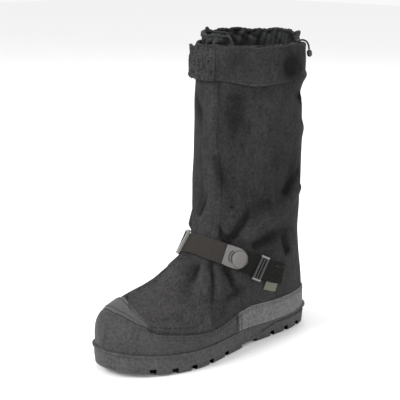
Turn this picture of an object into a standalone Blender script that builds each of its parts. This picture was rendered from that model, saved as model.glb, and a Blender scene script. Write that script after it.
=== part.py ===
"""Winter overshoe, left foot: rubber outsole, fabric upper with a tall shaft, strap, cuff and snow collar.

Frame: toe along -Y, heel along +Y, lateral (outer) side along +X, +Z up, the floor at z = 0.
"""
import math

import bmesh
import bpy
import numpy as np
from mathutils import Matrix, Vector

MM = 0.001

# Driving sizes of the shoe
LENGTH = 325 * MM            # outsole, toe to heel
BALL_WIDTH = 122 * MM        # outsole at the ball
SHAFT_TOP = 352 * MM         # top edge of the fabric shaft
SHAFT_HALF_WIDTH = 62.5 * MM
SHAFT_HALF_DEPTH = 69.5 * MM
SHAFT_CENTRE_Y = 72.5 * MM
SHAFT_CENTRE_X = -1.0 * MM
WALL = 1.6 * MM              # fabric upper
GAP = 0.3 * MM               # between neighbouring pieces
CENTRE_X = -2.0 * MM         # brings the middle of the shoe's width over x = 0

# Outsole
SOLE_HEIGHT = 23.5 * MM
TOE_SPRING = 9 * MM
SPRING_START = 0.236         # share of the length in front of the middle, where the toe starts to rise
LIP_OUT = 0.3 * MM
LIP_HEIGHT = 2.6 * MM
HEEL_RIM_OUT = 0.9 * MM
HEEL_BLOCK_HEIGHT = 16 * MM
HEEL_BLOCK_OUT = 1.4 * MM
LUG_HEIGHT = 5.2 * MM
NOTCH_WIDTH = 5.5 * MM
NOTCH_DEPTH = 15 * MM
UPPER_INSET = 3.2 * MM       # upper inside the edge of the sole
HEEL_INSET = 3.0 * MM        # the same at the back of the heel, over and above it
SIDE_INSET = 1.2 * MM        # side wall inside the lip

# Outline of the sole, anticlockwise from the toe tip: x as a share of BALL_WIDTH, y as a share of LENGTH
OUTLINE = (
    (-0.067, -0.500), (0.168, -0.478), (0.370, -0.393), (0.487, -0.283), (0.521, -0.173),
    (0.471, -0.031), (0.420, 0.094), (0.412, 0.220), (0.403, 0.346), (0.303, 0.450),
    (0.000, 0.500), (-0.303, 0.450), (-0.378, 0.346), (-0.361, 0.220), (-0.353, 0.094),
    (-0.403, -0.031), (-0.479, -0.189), (-0.454, -0.314), (-0.319, -0.440),
)

# Foot: y share of LENGTH, ridge height, fullness of the section's side and of its top, ridge's shift in x
FOOT = (
    (-0.500, 30 * MM, 2.6, 2.6, -4 * MM),
    (-0.485, 50 * MM, 2.6, 2.6, -4 * MM),
    (-0.455, 62 * MM, 2.6, 2.6, -5 * MM),
    (-0.400, 71 * MM, 2.6, 2.5, -6 * MM),
    (-0.320, 77 * MM, 2.6, 2.3, -7 * MM),
    (-0.220, 86 * MM, 2.4, 2.0, -7 * MM),
    (-0.120, 101 * MM, 2.2, 1.8, -6 * MM),
    (-0.040, 119 * MM, 2.1, 1.8, -4 * MM),
    (0.020, 136 * MM, 2.1, 1.9, -2 * MM),
    (0.150, 140 * MM, 2.2, 2.2, 0 * MM),
    (0.300, 122 * MM, 2.3, 2.2, 0 * MM),
    (0.400, 104 * MM, 2.4, 2.2, 0 * MM),
    (0.460, 84 * MM, 2.4, 2.2, 0 * MM),
    (0.500, 60 * MM, 2.4, 2.2, 0 * MM),
)

# Shaft: height as a share of SHAFT_TOP, shift in y, half width and half depth as shares of the shaft's own
SHAFT = (
    (0.00, 0 * MM, 0.74, 1.02),
    (0.12, 0 * MM, 0.79, 1.03),
    (0.20, 1 * MM, 0.86, 1.02),
    (0.30, 1 * MM, 0.94, 0.985),
    (0.37, 0 * MM, 0.965, 0.970),
    (0.45, 0 * MM, 0.990, 0.995),
    (0.60, 1 * MM, 1.000, 1.005),
    (0.80, 2 * MM, 0.990, 0.995),
    (1.00, 3 * MM, 0.955, 0.965),
)

# Top edge of the rand, both sides: y as a share of LENGTH, height
RAND_TOP = (
    (-0.52, 84 * MM), (-0.400, 84 * MM), (-0.385, 52 * MM), (-0.355, 47.5 * MM), (-0.290, 43.5 * MM),
    (-0.220, 40 * MM), (-0.150, 38 * MM), (-0.100, 38.5 * MM), (-0.050, 41 * MM), (0.010, 46 * MM),
    (0.065, 48.5 * MM), (0.115, 52.5 * MM), (0.220, 56.5 * MM), (0.340, 58.5 * MM), (0.440, 60 * MM),
    (0.52, 61 * MM),
)

# Toe patch seen from above, as shares of BALL_WIDTH and LENGTH: front edge, then back edge
PATCH_FRONT = ((-0.42, -0.345), (-0.32, -0.392), (-0.20, -0.420), (-0.05, -0.431), (0.10, -0.424),
               (0.20, -0.407), (0.285, -0.380))
PATCH_BACK = ((0.255, -0.381), (0.155, -0.386), (0.03, -0.376), (-0.08, -0.358), (-0.16, -0.343),
              (-0.28, -0.335), (-0.42, -0.335))

# Front flap seen from the front: x, height; the medial edge is a free fold, the lateral one is sewn
FLAP_MEDIAL = ((-8, 326), (-8, 225), (-4, 190), (-12, 160), (-18, 143), (-19, 125), (-20, 105), (-20, 60))
FLAP_LATERAL = ((56, 28), (53, 50), (45, 68), (32, 90), (21, 110), (20, 135), (19.5, 164), (19, 184),
                (16.5, 206), (14, 228), (11, 255), (12, 293), (10, 326))

# Side view of the flap's region: y, height; its slope is the pleat under the strap
FLAP_SIDE = ((-170 * MM, 20 * MM), (-50 * MM, 20 * MM), (-44 * MM, 48 * MM), (-32 * MM, 68 * MM),
             (-16 * MM, 92 * MM), (60 * MM, 106 * MM), (60 * MM, 340 * MM), (-170 * MM, 340 * MM))

# Middle of the instep strap: turn round the ankle in degrees (lateral positive), height
STRAP = (
    (-111, 82 * MM), (-75, 97 * MM), (-53, 106 * MM), (-36, 113 * MM), (-18, 120 * MM), (0, 124 * MM),
    (18, 120 * MM), (36, 113 * MM), (53, 106 * MM), (75, 97 * MM), (111, 82 * MM),
)

# Lower edge of the cuff: turn in degrees, height
CUFF_EDGE = ((-180, 316 * MM), (-90, 316 * MM), (0, 319 * MM), (25, 318 * MM), (52, 313.5 * MM),
             (70, 315 * MM), (100, 317 * MM), (180, 316 * MM))

# Sheet of the cuff, from the lower edge over the top and down inside: offset from the skin, height
CUFF_FOLD = (
    (2.7 * MM, 332 * MM), (2.5 * MM, 344 * MM), (2.3 * MM, 352.5 * MM), (1.7 * MM, 356.3 * MM),
    (-0.8 * MM, 357.8 * MM), (-2.7 * MM, 355.3 * MM), (-2.7 * MM, 347 * MM),
)

# Snow collar: offset from the skin, height
COLLAR = ((-4.2 * MM, 345 * MM), (-4.2 * MM, 355 * MM), (-3.8 * MM, 362 * MM), (-3.6 * MM, 367 * MM),
          (-5.0 * MM, 371.5 * MM))

# Drawcord, points by hand: turn in degrees, offset from the skin, height
CORD_REAR = ((106, -1.7 * MM, 361.2 * MM), (110, -1.6 * MM, 361.0 * MM), (115, -1.4 * MM, 361.0 * MM),
             (120, -0.6 * MM, 361.6 * MM), (122.5, 2.0 * MM, 361.8 * MM), (125, 5.6 * MM, 359.5 * MM),
             (126.5, 7.6 * MM, 355.0 * MM), (127, 8.2 * MM, 350.5 * MM))
CORD_FRONT = ((17, -5.0 * MM, 373.5 * MM), (11, -5.0 * MM, 373.6 * MM), (4, -5.0 * MM, 373.6 * MM),
              (-3, -4.7 * MM, 374.2 * MM), (-9.5, -4.2 * MM, 375.4 * MM))

SKIN_COLUMNS = 40
RING_COLUMNS = 26            # cuff and snow collar
SKIN_ROWS = 25
FOXING_ROWS = 11             # rows of the skin that rand and toe patch need
BLEND = 9 * MM               # softness of the bend between foot and shaft
FOOT_SPREAD = 0.38           # turns the skin's columns so that they spread evenly along the foot
SPRING_FADE = 45 * MM        # height over the sole at which rows no longer follow the toe's rise
SOLE_STATIONS = 26
INSOLE_THICKNESS = 3 * MM
NOTCHES = (-0.395, -0.318, -0.240, -0.155, -0.060, 0.220, 0.300, 0.378)
ARCH_CENTRE = 0.085
ARCH_LENGTH = 30 * MM
ARCH_RISE = 4.5 * MM
BOTTOM_TRIM = 1.5 * MM       # cut off the upper's lower edge to seat it on the sole
OVERLAY = 1.2 * MM           # rand, toe patch and flap
PATCH_BASE = 50 * MM         # height of the toe patch's lowest points
PATCH_CLEARANCE = 0.8 * MM   # between the toe patch and its neighbours in plan
RAND_CLEARANCE = 0.8 * MM    # between the flap and the rand's top edge
RAND_JOINT_Y = 4.5 * MM      # seam between the forefoot and heel pieces of the rand
CUFF_WALL = 1.4 * MM
TAB_WALL = 1.3 * MM
TAB_START = 9                # degrees, lateral end of the closure tab
TAB_END = -50                # its free end
TAB_STAND_OFF = 2.6 * MM
TAB_TOP = 356 * MM
COLLAR_WALL = 0.8 * MM
STRAP_WIDTH = 25 * MM
STRAP_WALL = 1.6 * MM
STRAP_LIFT = 1.0 * MM        # over the bare skin
STRAP_LIFT_FLAP = 2.4 * MM   # over the flap
BUCKLE_WIDTH = 31 * MM
CORD_RADIUS = 1.1 * MM
LOCK_LENGTH = 9 * MM
LOCK_RADIUS = 3.4 * MM
KNOT_LENGTH = 6 * MM
KNOT_RADIUS = 2.6 * MM


def closed_spline(points, count):
    """Points spread along a closed Catmull-Rom curve."""
    at = np.linspace(0, len(points), count, endpoint=False)
    i = at.astype(int)
    f = (at - i)[:, None]
    a, b, c, d = (np.take(points, i + k, axis=0, mode="wrap") for k in (-1, 0, 1, 2))
    square, cube = 2 * a - 5 * b + 4 * c - d, 3 * b - a - 3 * c + d
    return 0.5 * (2 * b + (c - a) * f + square * f ** 2 + cube * f ** 3)


def open_spline(table, column, x):
    """Smooth value of one column of a table at x, the table's first column."""
    rows = np.array(table)
    xs, ys = rows[:, 0], rows[:, column]
    slope = np.gradient(ys, xs)
    x = np.clip(x, xs[0], xs[-1])
    i = np.clip(np.searchsorted(xs, x) - 1, 0, len(xs) - 2)
    h = xs[i + 1] - xs[i]
    t = (x - xs[i]) / h
    return ((2 * t ** 3 - 3 * t ** 2 + 1) * ys[i] + (t ** 3 - 2 * t ** 2 + t) * h * slope[i]
            + (3 * t ** 2 - 2 * t ** 3) * ys[i + 1] + (t ** 3 - t ** 2) * h * slope[i + 1])


EDGE = closed_spline(np.array(OUTLINE) * (BALL_WIDTH, LENGTH) + (CENTRE_X, 0), 1200)
TIP, TAIL = EDGE[:, 1].argmin(), EDGE[:, 1].argmax()
LATERAL_EDGE = np.roll(EDGE, -TIP, axis=0)[:(TAIL - TIP) % len(EDGE) + 1]
MEDIAL_EDGE = np.roll(EDGE, -TAIL, axis=0)[:(TIP - TAIL) % len(EDGE) + 1][::-1]


def edge_x(y, side):
    """The sole's edge at y, on the lateral (side 1) or medial (side -1) side."""
    half = LATERAL_EDGE if side > 0 else MEDIAL_EDGE
    return np.interp(y, half[:, 1], half[:, 0])


def spring(y):
    """Rise of the floor side of the toe at y."""
    start = -SPRING_START * LENGTH
    return TOE_SPRING * np.clip((start - y) / (start + LENGTH / 2), 0, 1.1) ** 2


def sole_top(y):
    """Height of the sole's top at y."""
    return SOLE_HEIGHT + 0.9 * spring(y)


def foot_field(x, y, z):
    """Signed size, about in metres, of a point's distance outside the foot's form."""
    end = LENGTH / 2 - UPPER_INSET - np.where(y > 0, HEEL_INSET, 0)
    share = y / LENGTH
    at_edge = y * (LENGTH / 2) / end
    left, right = edge_x(at_edge, -1), edge_x(at_edge, 1)
    middle, half = (left + right) / 2, np.maximum((right - left) / 2 - UPPER_INSET, 1e-5)
    base = sole_top(y)
    tall = open_spline(FOOT, 1, share) - base
    rise = np.clip((z - base) / tall, 0, 8)
    side_power, top_power = open_spline(FOOT, 2, share), open_spline(FOOT, 3, share)
    ridge = open_spline(FOOT, 4, share) * np.clip(rise, 0, 1) ** 1.5
    across = np.abs(x - middle - ridge) / half
    beyond = np.clip(np.abs(y) - end, 0, 1)
    level = (np.clip(across, 0, 12) ** side_power + rise ** top_power) ** (1 / side_power) - 1
    return level * np.clip(half, 8 * MM, 45 * MM) + beyond


def shaft_field(x, y, z):
    """The same for the shaft."""
    share = z / SHAFT_TOP
    centre = SHAFT_CENTRE_Y + open_spline(SHAFT, 1, share)
    half_width = SHAFT_HALF_WIDTH * open_spline(SHAFT, 2, share)
    half_depth = SHAFT_HALF_DEPTH * open_spline(SHAFT, 3, share)
    level = np.hypot((x - SHAFT_CENTRE_X) / half_width, (y - centre) / half_depth) - 1
    return level * half_width


def body_field(x, y, z):
    """Foot and shaft joined by a soft blend."""
    foot, shaft = foot_field(x, y, z), shaft_field(x, y, z)
    low, high = np.minimum(foot, shaft), np.maximum(foot, shaft)
    return low - BLEND * np.log1p(np.exp((low - high) / BLEND))


def level_heights(count):
    """Heights of the skin's rows above the sole, spaced evenly along the front profile."""
    front = [(row[0] * LENGTH, row[1]) for row in FOOT if row[0] < 0.03]
    start = (-LENGTH / 2, SOLE_HEIGHT)
    profile = np.array([start, *front, (front[-1][0] + 2 * MM, SHAFT_TOP)])
    run = np.concatenate(((0,), np.cumsum(np.hypot(*np.diff(profile, axis=0).T))))
    return np.interp(np.linspace(0, run[-1], count), run, profile[:, 1]) - SOLE_HEIGHT


def skin_points(turn, height):
    """Outer skin at each turn round the shoe (0 at the front, then lateral) and height over the sole."""
    share = np.clip(height / (130 * MM - SOLE_HEIGHT), 0, 1)
    share = share * share * (3 - 2 * share)
    centre_x, centre_y = SHAFT_CENTRE_X * share, SHAFT_CENTRE_Y * share
    way_x = np.sin(turn) * (FOOT_SPREAD * (1 - share) + SHAFT_HALF_WIDTH / SHAFT_HALF_DEPTH * share)
    way_y = -np.cos(turn) + 0 * share
    long = np.hypot(way_x, way_y)
    way_x, way_y = way_x / long, way_y / long
    near, far = np.zeros_like(way_x), np.full_like(way_x, 0.7 * LENGTH)
    for _ in range(36):
        reach = (near + far) / 2
        x, y = centre_x + reach * way_x, centre_y + reach * way_y
        z = SOLE_HEIGHT + GAP + height + 0.9 * spring(y) * np.clip(1 - height / SPRING_FADE, 0, 1)
        outside = body_field(x, y, z) > 0
        far, near = np.where(outside, reach, far), np.where(outside, near, reach)
    return np.stack((x, y, z), axis=-1)


def skin_normals(points):
    """Outward normals of a grid of skin points, rows by columns."""
    along = np.roll(points, -1, axis=1) - np.roll(points, 1, axis=1)
    up = np.gradient(points, axis=0)
    normal = np.cross(along, up)
    return normal / np.linalg.norm(normal, axis=-1, keepdims=True)


def collection(name):
    made = bpy.data.collections.new(name)
    bpy.context.scene.collection.children.link(made)
    return made


def material(name, colour, roughness, metallic=0.0):
    """A Principled material with the part's colour, roughness and metallic value."""
    made = bpy.data.materials.new(name)
    made.use_nodes = True
    shader = made.node_tree.nodes["Principled BSDF"]
    shader.inputs["Base Color"].default_value = (*colour, 1)
    shader.inputs["Roughness"].default_value = roughness
    shader.inputs["Metallic"].default_value = metallic
    return made


def place(name, mesh_builder, finish, group):
    """An object made from a bmesh, in its collection, with its material."""
    mesh = bpy.data.meshes.new(name)
    mesh_builder.to_mesh(mesh)
    mesh_builder.free()
    made = bpy.data.objects.new(name, mesh)
    group.objects.link(made)
    if finish:
        mesh.materials.append(finish)
    mesh.shade_smooth()
    mesh.set_sharp_from_angle(angle=math.radians(40))
    return made


def sheet(points, wrap=False):
    """A bmesh of triangles through rows of points; wrap joins the last column to the first."""
    builder = bmesh.new()
    rows, columns = points.shape[:2]
    verts = [[builder.verts.new(p) for p in row] for row in points]
    for low, high in zip(verts, verts[1:]):
        for i in range(columns if wrap else columns - 1):
            j = (i + 1) % columns
            builder.faces.new((low[i], low[j], high[j]))
            builder.faces.new((low[i], high[j], high[i]))
    return builder


def thicken(made, thickness, side):
    """Solidify an open surface: side 1 outwards, -1 inwards, 0 both ways."""
    wall = made.modifiers.new("wall", "SOLIDIFY")
    wall.thickness = thickness
    wall.offset = side
    wall.use_even_offset = True
    return made


def sole_loop(inset, height, stations):
    """One closed loop round the sole: toe tip, lateral side, heel, medial side."""
    y = -LENGTH / 2 * np.cos(np.pi * np.arange(stations + 1) / stations)
    inset, height = inset(y), height(y)
    left, right = edge_x(y, -1), edge_x(y, 1)
    middle, half = (left + right) / 2, (right - left) / 2
    half = np.maximum(half - inset, 0)
    y = y * (1 - inset / (LENGTH / 2))
    lateral = np.stack((middle + half, y, height), axis=-1)
    medial = np.stack((middle - half, y, height), axis=-1)
    tips = (medial[:1] + lateral[:1]) / 2, (medial[-1:] + lateral[-1:]) / 2
    return np.vstack((tips[0], lateral[1:-1], tips[1], medial[-2:0:-1]))


def cap(builder, loop, up):
    """Close a sole loop with strips across it."""
    count = len(loop)
    half = count // 2
    for j in range(half):
        ring = [loop[j], loop[j + 1], loop[(count - j - 1) % count], loop[(count - j) % count]]
        face = [v for k, v in enumerate(ring) if v not in ring[:k]]
        builder.faces.new(face if up else face[::-1])


def sole_block(loops):
    """A closed block through loops from the top down."""
    builder = sheet(np.array(loops)[::-1], wrap=True)
    builder.verts.ensure_lookup_table()
    count = len(loops[0])
    verts = list(builder.verts)
    cap(builder, verts[:count], False)
    cap(builder, verts[-count:], True)
    bmesh.ops.recalc_face_normals(builder, faces=builder.faces)
    return builder


def fade(y, start, end):
    """0 before start, 1 after end, with soft ends; start and end are shares of the length."""
    t = np.clip((y / LENGTH - start) / (end - start), 0, 1)
    return t * t * (3 - 2 * t)


def block_height(y):
    """Top of the heel block: it climbs out of the waist and runs on to the heel."""
    return 2 * MM + (HEEL_BLOCK_HEIGHT - 2 * MM) * fade(y, 0.05, 0.26)


def outsole(group, cutters, finish):
    """Moulded outsole: lip at the top, side wall, heel block, lugs round the edge, raised arch."""
    flat = np.zeros_like
    rim = lambda y: LIP_OUT + HEEL_RIM_OUT * fade(y, 0.30, 0.47)
    block = lambda y: HEEL_BLOCK_OUT * fade(y, 0.07, 0.20)
    lift = lambda y: block_height(y) + spring(y)
    under_lip = lambda y: sole_top(y) - LIP_HEIGHT
    loops = [
        sole_loop(lambda y: flat(y) + 1.0 * MM, sole_top, SOLE_STATIONS),
        sole_loop(lambda y: 0.5 * MM - rim(y), lambda y: sole_top(y) - 0.2 * MM, SOLE_STATIONS),
        sole_loop(lambda y: -rim(y), lambda y: sole_top(y) - 1.0 * MM, SOLE_STATIONS),
        sole_loop(lambda y: -rim(y), under_lip, SOLE_STATIONS),
        sole_loop(lambda y: flat(y) + SIDE_INSET, lambda y: under_lip(y) - 0.8 * MM, SOLE_STATIONS),
        sole_loop(lambda y: flat(y) + SIDE_INSET + 0.8 * MM, lambda y: lift(y) + 0.5 * MM, SOLE_STATIONS),
        sole_loop(lambda y: SIDE_INSET + 0.8 * MM - block(y), lambda y: lift(y) - 0.5 * MM, SOLE_STATIONS),
        sole_loop(lambda y: 3.0 * MM - block(y), lambda y: spring(y) + 1.2 * MM, SOLE_STATIONS),
        sole_loop(lambda y: 4.2 * MM - block(y), spring, SOLE_STATIONS),
    ]
    made = place("outsole", sole_block(loops), finish, group)
    notches = bmesh.new()
    for side in (-1, 1):
        for share in NOTCHES:
            y = share * LENGTH
            x = float(edge_x(y, side))
            ahead, behind = float(edge_x(y - 4 * MM, side)), float(edge_x(y + 4 * MM, side))
            angle = math.atan2(8 * MM, behind - ahead) - math.pi / 2
            centre = (x - side * NOTCH_DEPTH / 2 + side * 2 * MM, y, float(spring(y)))
            cut = bmesh.ops.create_cube(notches, size=1)["verts"]
            bmesh.ops.scale(notches, vec=(NOTCH_DEPTH + 4 * MM, NOTCH_WIDTH, 2 * LUG_HEIGHT), verts=cut)
            bmesh.ops.rotate(notches, matrix=Matrix.Rotation(angle, 3, "Z"), verts=cut)
            bmesh.ops.translate(notches, vec=centre, verts=cut)
    arch = bmesh.ops.create_cube(notches, size=1)["verts"]
    bmesh.ops.scale(notches, vec=(2 * BALL_WIDTH, ARCH_LENGTH, 2 * ARCH_RISE), verts=arch)
    bmesh.ops.translate(notches, vec=(0, ARCH_CENTRE * LENGTH, 0), verts=arch)
    cutter = place("outsole_notches", notches, None, cutters)
    cut = made.modifiers.new("notches", "BOOLEAN")
    cut.operation = "DIFFERENCE"
    cut.object = cutter
    return made


def insole(group, finish):
    """Flat board inside the upper, on the sole."""
    inset = UPPER_INSET + HEEL_INSET + WALL + 0.6 * MM
    low = lambda y: sole_top(y) + GAP
    high = lambda y: sole_top(y) + GAP + INSOLE_THICKNESS
    loops = [sole_loop(lambda y: 0 * y + inset, level, 20) for level in (high, low)]
    return place("insole", sole_block(loops), finish, group)


def upper(group, cutters, finish, grid):
    """Foot and shaft in one fabric tube, open at the top and underneath."""
    made = place("upper", sheet(grid, wrap=True), finish, group)
    thicken(made, WALL, -1)
    bottom = [(y, float(sole_top(y)) + GAP) for y in np.linspace(-0.6 * LENGTH, 0.6 * LENGTH, 24)]
    outline = bottom + [(0.6 * LENGTH, 2 * SHAFT_TOP), (-0.6 * LENGTH, 2 * SHAFT_TOP)]
    boolean(made, "INTERSECT", prism("above_sole", cutters, outline, 0, -BALL_WIDTH, BALL_WIDTH))


def layer(name, group, finish, grid, lift, thickness, wrap=False):
    """A sheet lifted off a grid of the upper's own points and thickened outwards."""
    made = place(name, sheet(grid + lift * skin_normals(grid), wrap), finish, group)
    return thicken(made, thickness, 1)


def prism(name, cutters, outline, axis, low, high):
    """A flat outline in the other two axes, stretched along one axis from low to high."""
    others = [k for k in range(3) if k != axis]
    builder = bmesh.new()
    verts = []
    for pair in outline:
        place_at = [0.0, 0.0, 0.0]
        place_at[others[0]], place_at[others[1]], place_at[axis] = *pair, low
        verts.append(builder.verts.new(place_at))
    face = builder.faces.new(verts)
    grown = bmesh.ops.extrude_face_region(builder, geom=[face])
    way = [0.0, 0.0, 0.0]
    way[axis] = high - low
    far_verts = [v for v in grown["geom"] if isinstance(v, bmesh.types.BMVert)]
    bmesh.ops.translate(builder, vec=way, verts=far_verts)
    bmesh.ops.recalc_face_normals(builder, faces=builder.faces)
    return place(name, builder, None, cutters)


def boolean(made, operation, cutter):
    cut = made.modifiers.new(cutter.name, "BOOLEAN")
    cut.operation = operation
    cut.object = cutter


def rand_region(name, cutters, start, end, grow=0.0):
    """Side view of the rand between two places along the shoe."""
    inner = [(y * LENGTH, z) for y, z in RAND_TOP if start < y * LENGTH < end]
    ys, zs = zip(*RAND_TOP)
    edge = [(at, float(np.interp(at / LENGTH, ys, zs))) for at in (start, end)]
    top = [edge[0], *inner, edge[1]]
    bottom = [(y, float(sole_top(y)) + GAP) for y in np.linspace(start, end, 24)]
    outline = bottom + [(y, z + grow) for y, z in top[::-1]]
    return prism(name, cutters, outline, 0, -BALL_WIDTH, BALL_WIDTH)


def patch_region(name, cutters, grow=0.0, behind_front=False, ahead_of_back=False):
    """The toe patch from above, or all that lies behind its front edge, or all ahead of its back edge."""
    scale = (BALL_WIDTH, LENGTH)
    front = [(x * scale[0] + CENTRE_X, y * scale[1] - grow) for x, y in PATCH_FRONT]
    back = [(x * scale[0] + CENTRE_X, y * scale[1] + grow) for x, y in PATCH_BACK]
    far = 0.7 * BALL_WIDTH
    if behind_front:
        front = [(-far, front[0][1]), *front, (far, front[-1][1])]
        back = [(far, -0.30 * LENGTH), (-far, -0.30 * LENGTH)]
    if ahead_of_back:
        front = [(-far, back[-1][1]), (-far, -0.6 * LENGTH), (far, -0.6 * LENGTH), (far, back[0][1])]
    return prism(name, cutters, front + back, 2, PATCH_BASE - grow, PATCH_BASE + 50 * MM)


def rand_and_patch(group, cutters, rubber, smooth, grid):
    """Rubber coated fabric round the foot, with the toe cap, and the smooth crescent on top of the toe."""
    low = grid[:FOXING_ROWS]
    ends = (-0.6 * LENGTH, RAND_JOINT_Y - GAP / 2), (RAND_JOINT_Y + GAP / 2, 0.6 * LENGTH)
    for name, (start, end) in zip(("rand_forefoot", "rand_heel"), ends):
        made = layer(name, group, rubber, low, GAP, OVERLAY, wrap=True)
        boolean(made, "INTERSECT", rand_region(name + "_region", cutters, start, end))
        if start < 0:
            clear = patch_region("patch_clear", cutters, PATCH_CLEARANCE, behind_front=True)
            boolean(made, "DIFFERENCE", clear)
    made = layer("toe_patch", group, smooth, low, GAP, OVERLAY, wrap=True)
    boolean(made, "INTERSECT", patch_region("patch_region", cutters))


def front_flap(group, cutters, finish, grid):
    """Front panel: free fold on its medial edge, sewn on its lateral edge, from the toe patch to the cuff."""
    columns = np.arange(-6, 11)
    part = grid[1:, columns]
    made = place("front_flap", sheet(part + GAP * skin_normals(grid)[1:, columns]), finish, group)
    thicken(made, OVERLAY, 1)
    outline = [(x * MM, z * MM) for x, z in (*FLAP_MEDIAL, *FLAP_LATERAL)]
    boolean(made, "INTERSECT", prism("flap_region", cutters, outline, 1, -LENGTH, 50 * MM))
    rand = rand_region("rand_clear", cutters, -0.6 * LENGTH, 0.6 * LENGTH, RAND_CLEARANCE)
    boolean(made, "DIFFERENCE", rand)
    patch = patch_region("patch_back_clear", cutters, PATCH_CLEARANCE, ahead_of_back=True)
    boolean(made, "DIFFERENCE", patch)
    boolean(made, "INTERSECT", prism("flap_side_region", cutters, FLAP_SIDE, 0, -BALL_WIDTH, BALL_WIDTH))


def over_sole(z):
    """Height over the sole of a height over the floor."""
    return z - SOLE_HEIGHT - GAP


def shell_rows(turn, rows):
    """Points at rows of (offset from the skin, height) for each turn."""
    heights = np.array([np.broadcast_to(z, turn.shape) for _, z in rows])
    around = np.broadcast_to(turn, heights.shape)
    points = skin_points(around, over_sole(heights))
    ahead = skin_points(around + 0.01, over_sole(heights)) - skin_points(around - 0.01, over_sole(heights))
    normal = np.cross(ahead, (0, 0, 1))
    normal /= np.linalg.norm(normal, axis=-1, keepdims=True)
    offsets = np.array([np.broadcast_to(o, turn.shape) for o, _ in rows])
    return points + offsets[..., None] * normal


def cuff_and_collar(group, cuff_fabric, thin_fabric, loop_fabric):
    """Folded cuff over the top of the shaft, its closure tab over the front, and the snow collar inside."""
    turn = np.linspace(-np.pi, np.pi, RING_COLUMNS, endpoint=False)
    edge = open_spline(CUFF_EDGE, 1, np.degrees(turn))
    rows = [(CUFF_FOLD[0][0], edge), *CUFF_FOLD]
    made = place("cuff", sheet(shell_rows(turn, rows), wrap=True), cuff_fabric, group)
    thicken(made, CUFF_WALL, 0)
    made = place("snow_collar", sheet(shell_rows(turn, COLLAR), wrap=True), thin_fabric, group)
    thicken(made, COLLAR_WALL, 0)
    turn = np.radians(np.linspace(TAB_END, TAB_START, 12))
    free = np.clip((np.radians(TAB_END + 12) - turn) / np.radians(12), 0, 1)
    round_end = 9 * MM * (1 - np.sqrt(np.clip(1 - np.clip(free * 1.6 - 0.6, 0, 1) ** 2, 0, 1)))
    base = CUFF_FOLD[0][0] + CUFF_WALL / 2 + 1.5 * GAP + TAB_STAND_OFF * free ** 2
    low, high = open_spline(CUFF_EDGE, 1, 0) + round_end, TAB_TOP - round_end
    rows = [(base, low + share * (high - low)) for share in np.linspace(0, 1, 4)]
    made = place("closure_tab", sheet(shell_rows(turn, rows)), loop_fabric, group)
    thicken(made, TAB_WALL, 1)


def strap_rows(turns, half_width, lift, shift=0.0):
    """Rows of points across a band that runs along the strap's line round the ankle."""
    turn = np.radians(turns)
    middle = over_sole(open_spline(STRAP, 1, turns) + shift)
    spread = np.full_like(turn, half_width)
    half_width = half_width + 0 * turn
    lean = np.zeros_like(turn)
    for _ in range(8):
        low, high = skin_points(turn - lean, middle - spread), skin_points(turn + lean, middle + spread)
        spread = spread * 2 * half_width / np.linalg.norm(high - low, axis=-1)
        along = np.gradient(skin_points(turn, middle), turn, axis=0)
        lean = lean - ((high - low) * along).sum(axis=-1) / (2 * (along ** 2).sum(axis=-1))
    normal = np.cross(along, high - low)
    normal /= np.linalg.norm(normal, axis=-1, keepdims=True)
    step = (np.asarray(lift) + 0 * turn)[:, None] * normal
    return np.stack((low + step, (low + high) / 2 + step, high + step))


def strap_lift(turns):
    """Offset of the strap's inner face from the skin."""
    t = np.clip((np.abs(turns) - 24) / 12, 0, 1)
    return STRAP_LIFT_FLAP + (STRAP_LIFT - STRAP_LIFT_FLAP) * t * t * (3 - 2 * t)


def band(name, group, finish, start, end, width, lift, thickness, steps, shift=0.0):
    """A piece of webbing or a curved plate along the strap's line."""
    turns = np.linspace(start, end, steps)
    rows = strap_rows(turns, width / 2, strap_lift(turns) + lift, shift)
    made = place(name, sheet(rows), finish, group)
    return thicken(made, thickness, 1)


def round_tab(name, group, finish, start, end, width, lift, thickness):
    """The strap's pull tab: square at its webbing end, round at its tip."""
    share = 1 - (1 - np.linspace(0, 1, 12)) ** 1.6
    turns = start + share * (end - start)
    along = np.clip((share - 0.45) / 0.55, 0, 1)
    half = width / 2 * np.sqrt(np.clip(1 - along ** 2, 0.02, 1))
    rows = strap_rows(turns, half, strap_lift(turns) + lift)
    made = place(name, sheet(rows), finish, group)
    return thicken(made, thickness, 1)


def slots(made, cutters, turns, width, length, lift, tall):
    """Cut slots across a plate on the strap's line."""
    builder = bmesh.new()
    for at in turns:
        nearby = np.array([at - 1, at, at + 1])
        rows = strap_rows(nearby, width / 2, strap_lift(nearby) + lift)
        middle, across = rows[1, 1], rows[2, 1] - rows[0, 1]
        along = rows[1, 2] - rows[1, 0]
        across, along = across / np.linalg.norm(across), along / np.linalg.norm(along)
        out = np.cross(along, across)
        frame = Matrix(np.array((along, across, out)).T.tolist()).to_4x4()
        frame.translation = middle
        cut = bmesh.ops.create_cube(builder, size=1)["verts"]
        bmesh.ops.scale(builder, vec=(length, width, 2 * tall), verts=cut)
        bmesh.ops.transform(builder, matrix=frame, verts=cut)
    bmesh.ops.recalc_face_normals(builder, faces=builder.faces)
    boolean(made, "DIFFERENCE", place(made.name + "_slots", builder, None, cutters))


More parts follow.
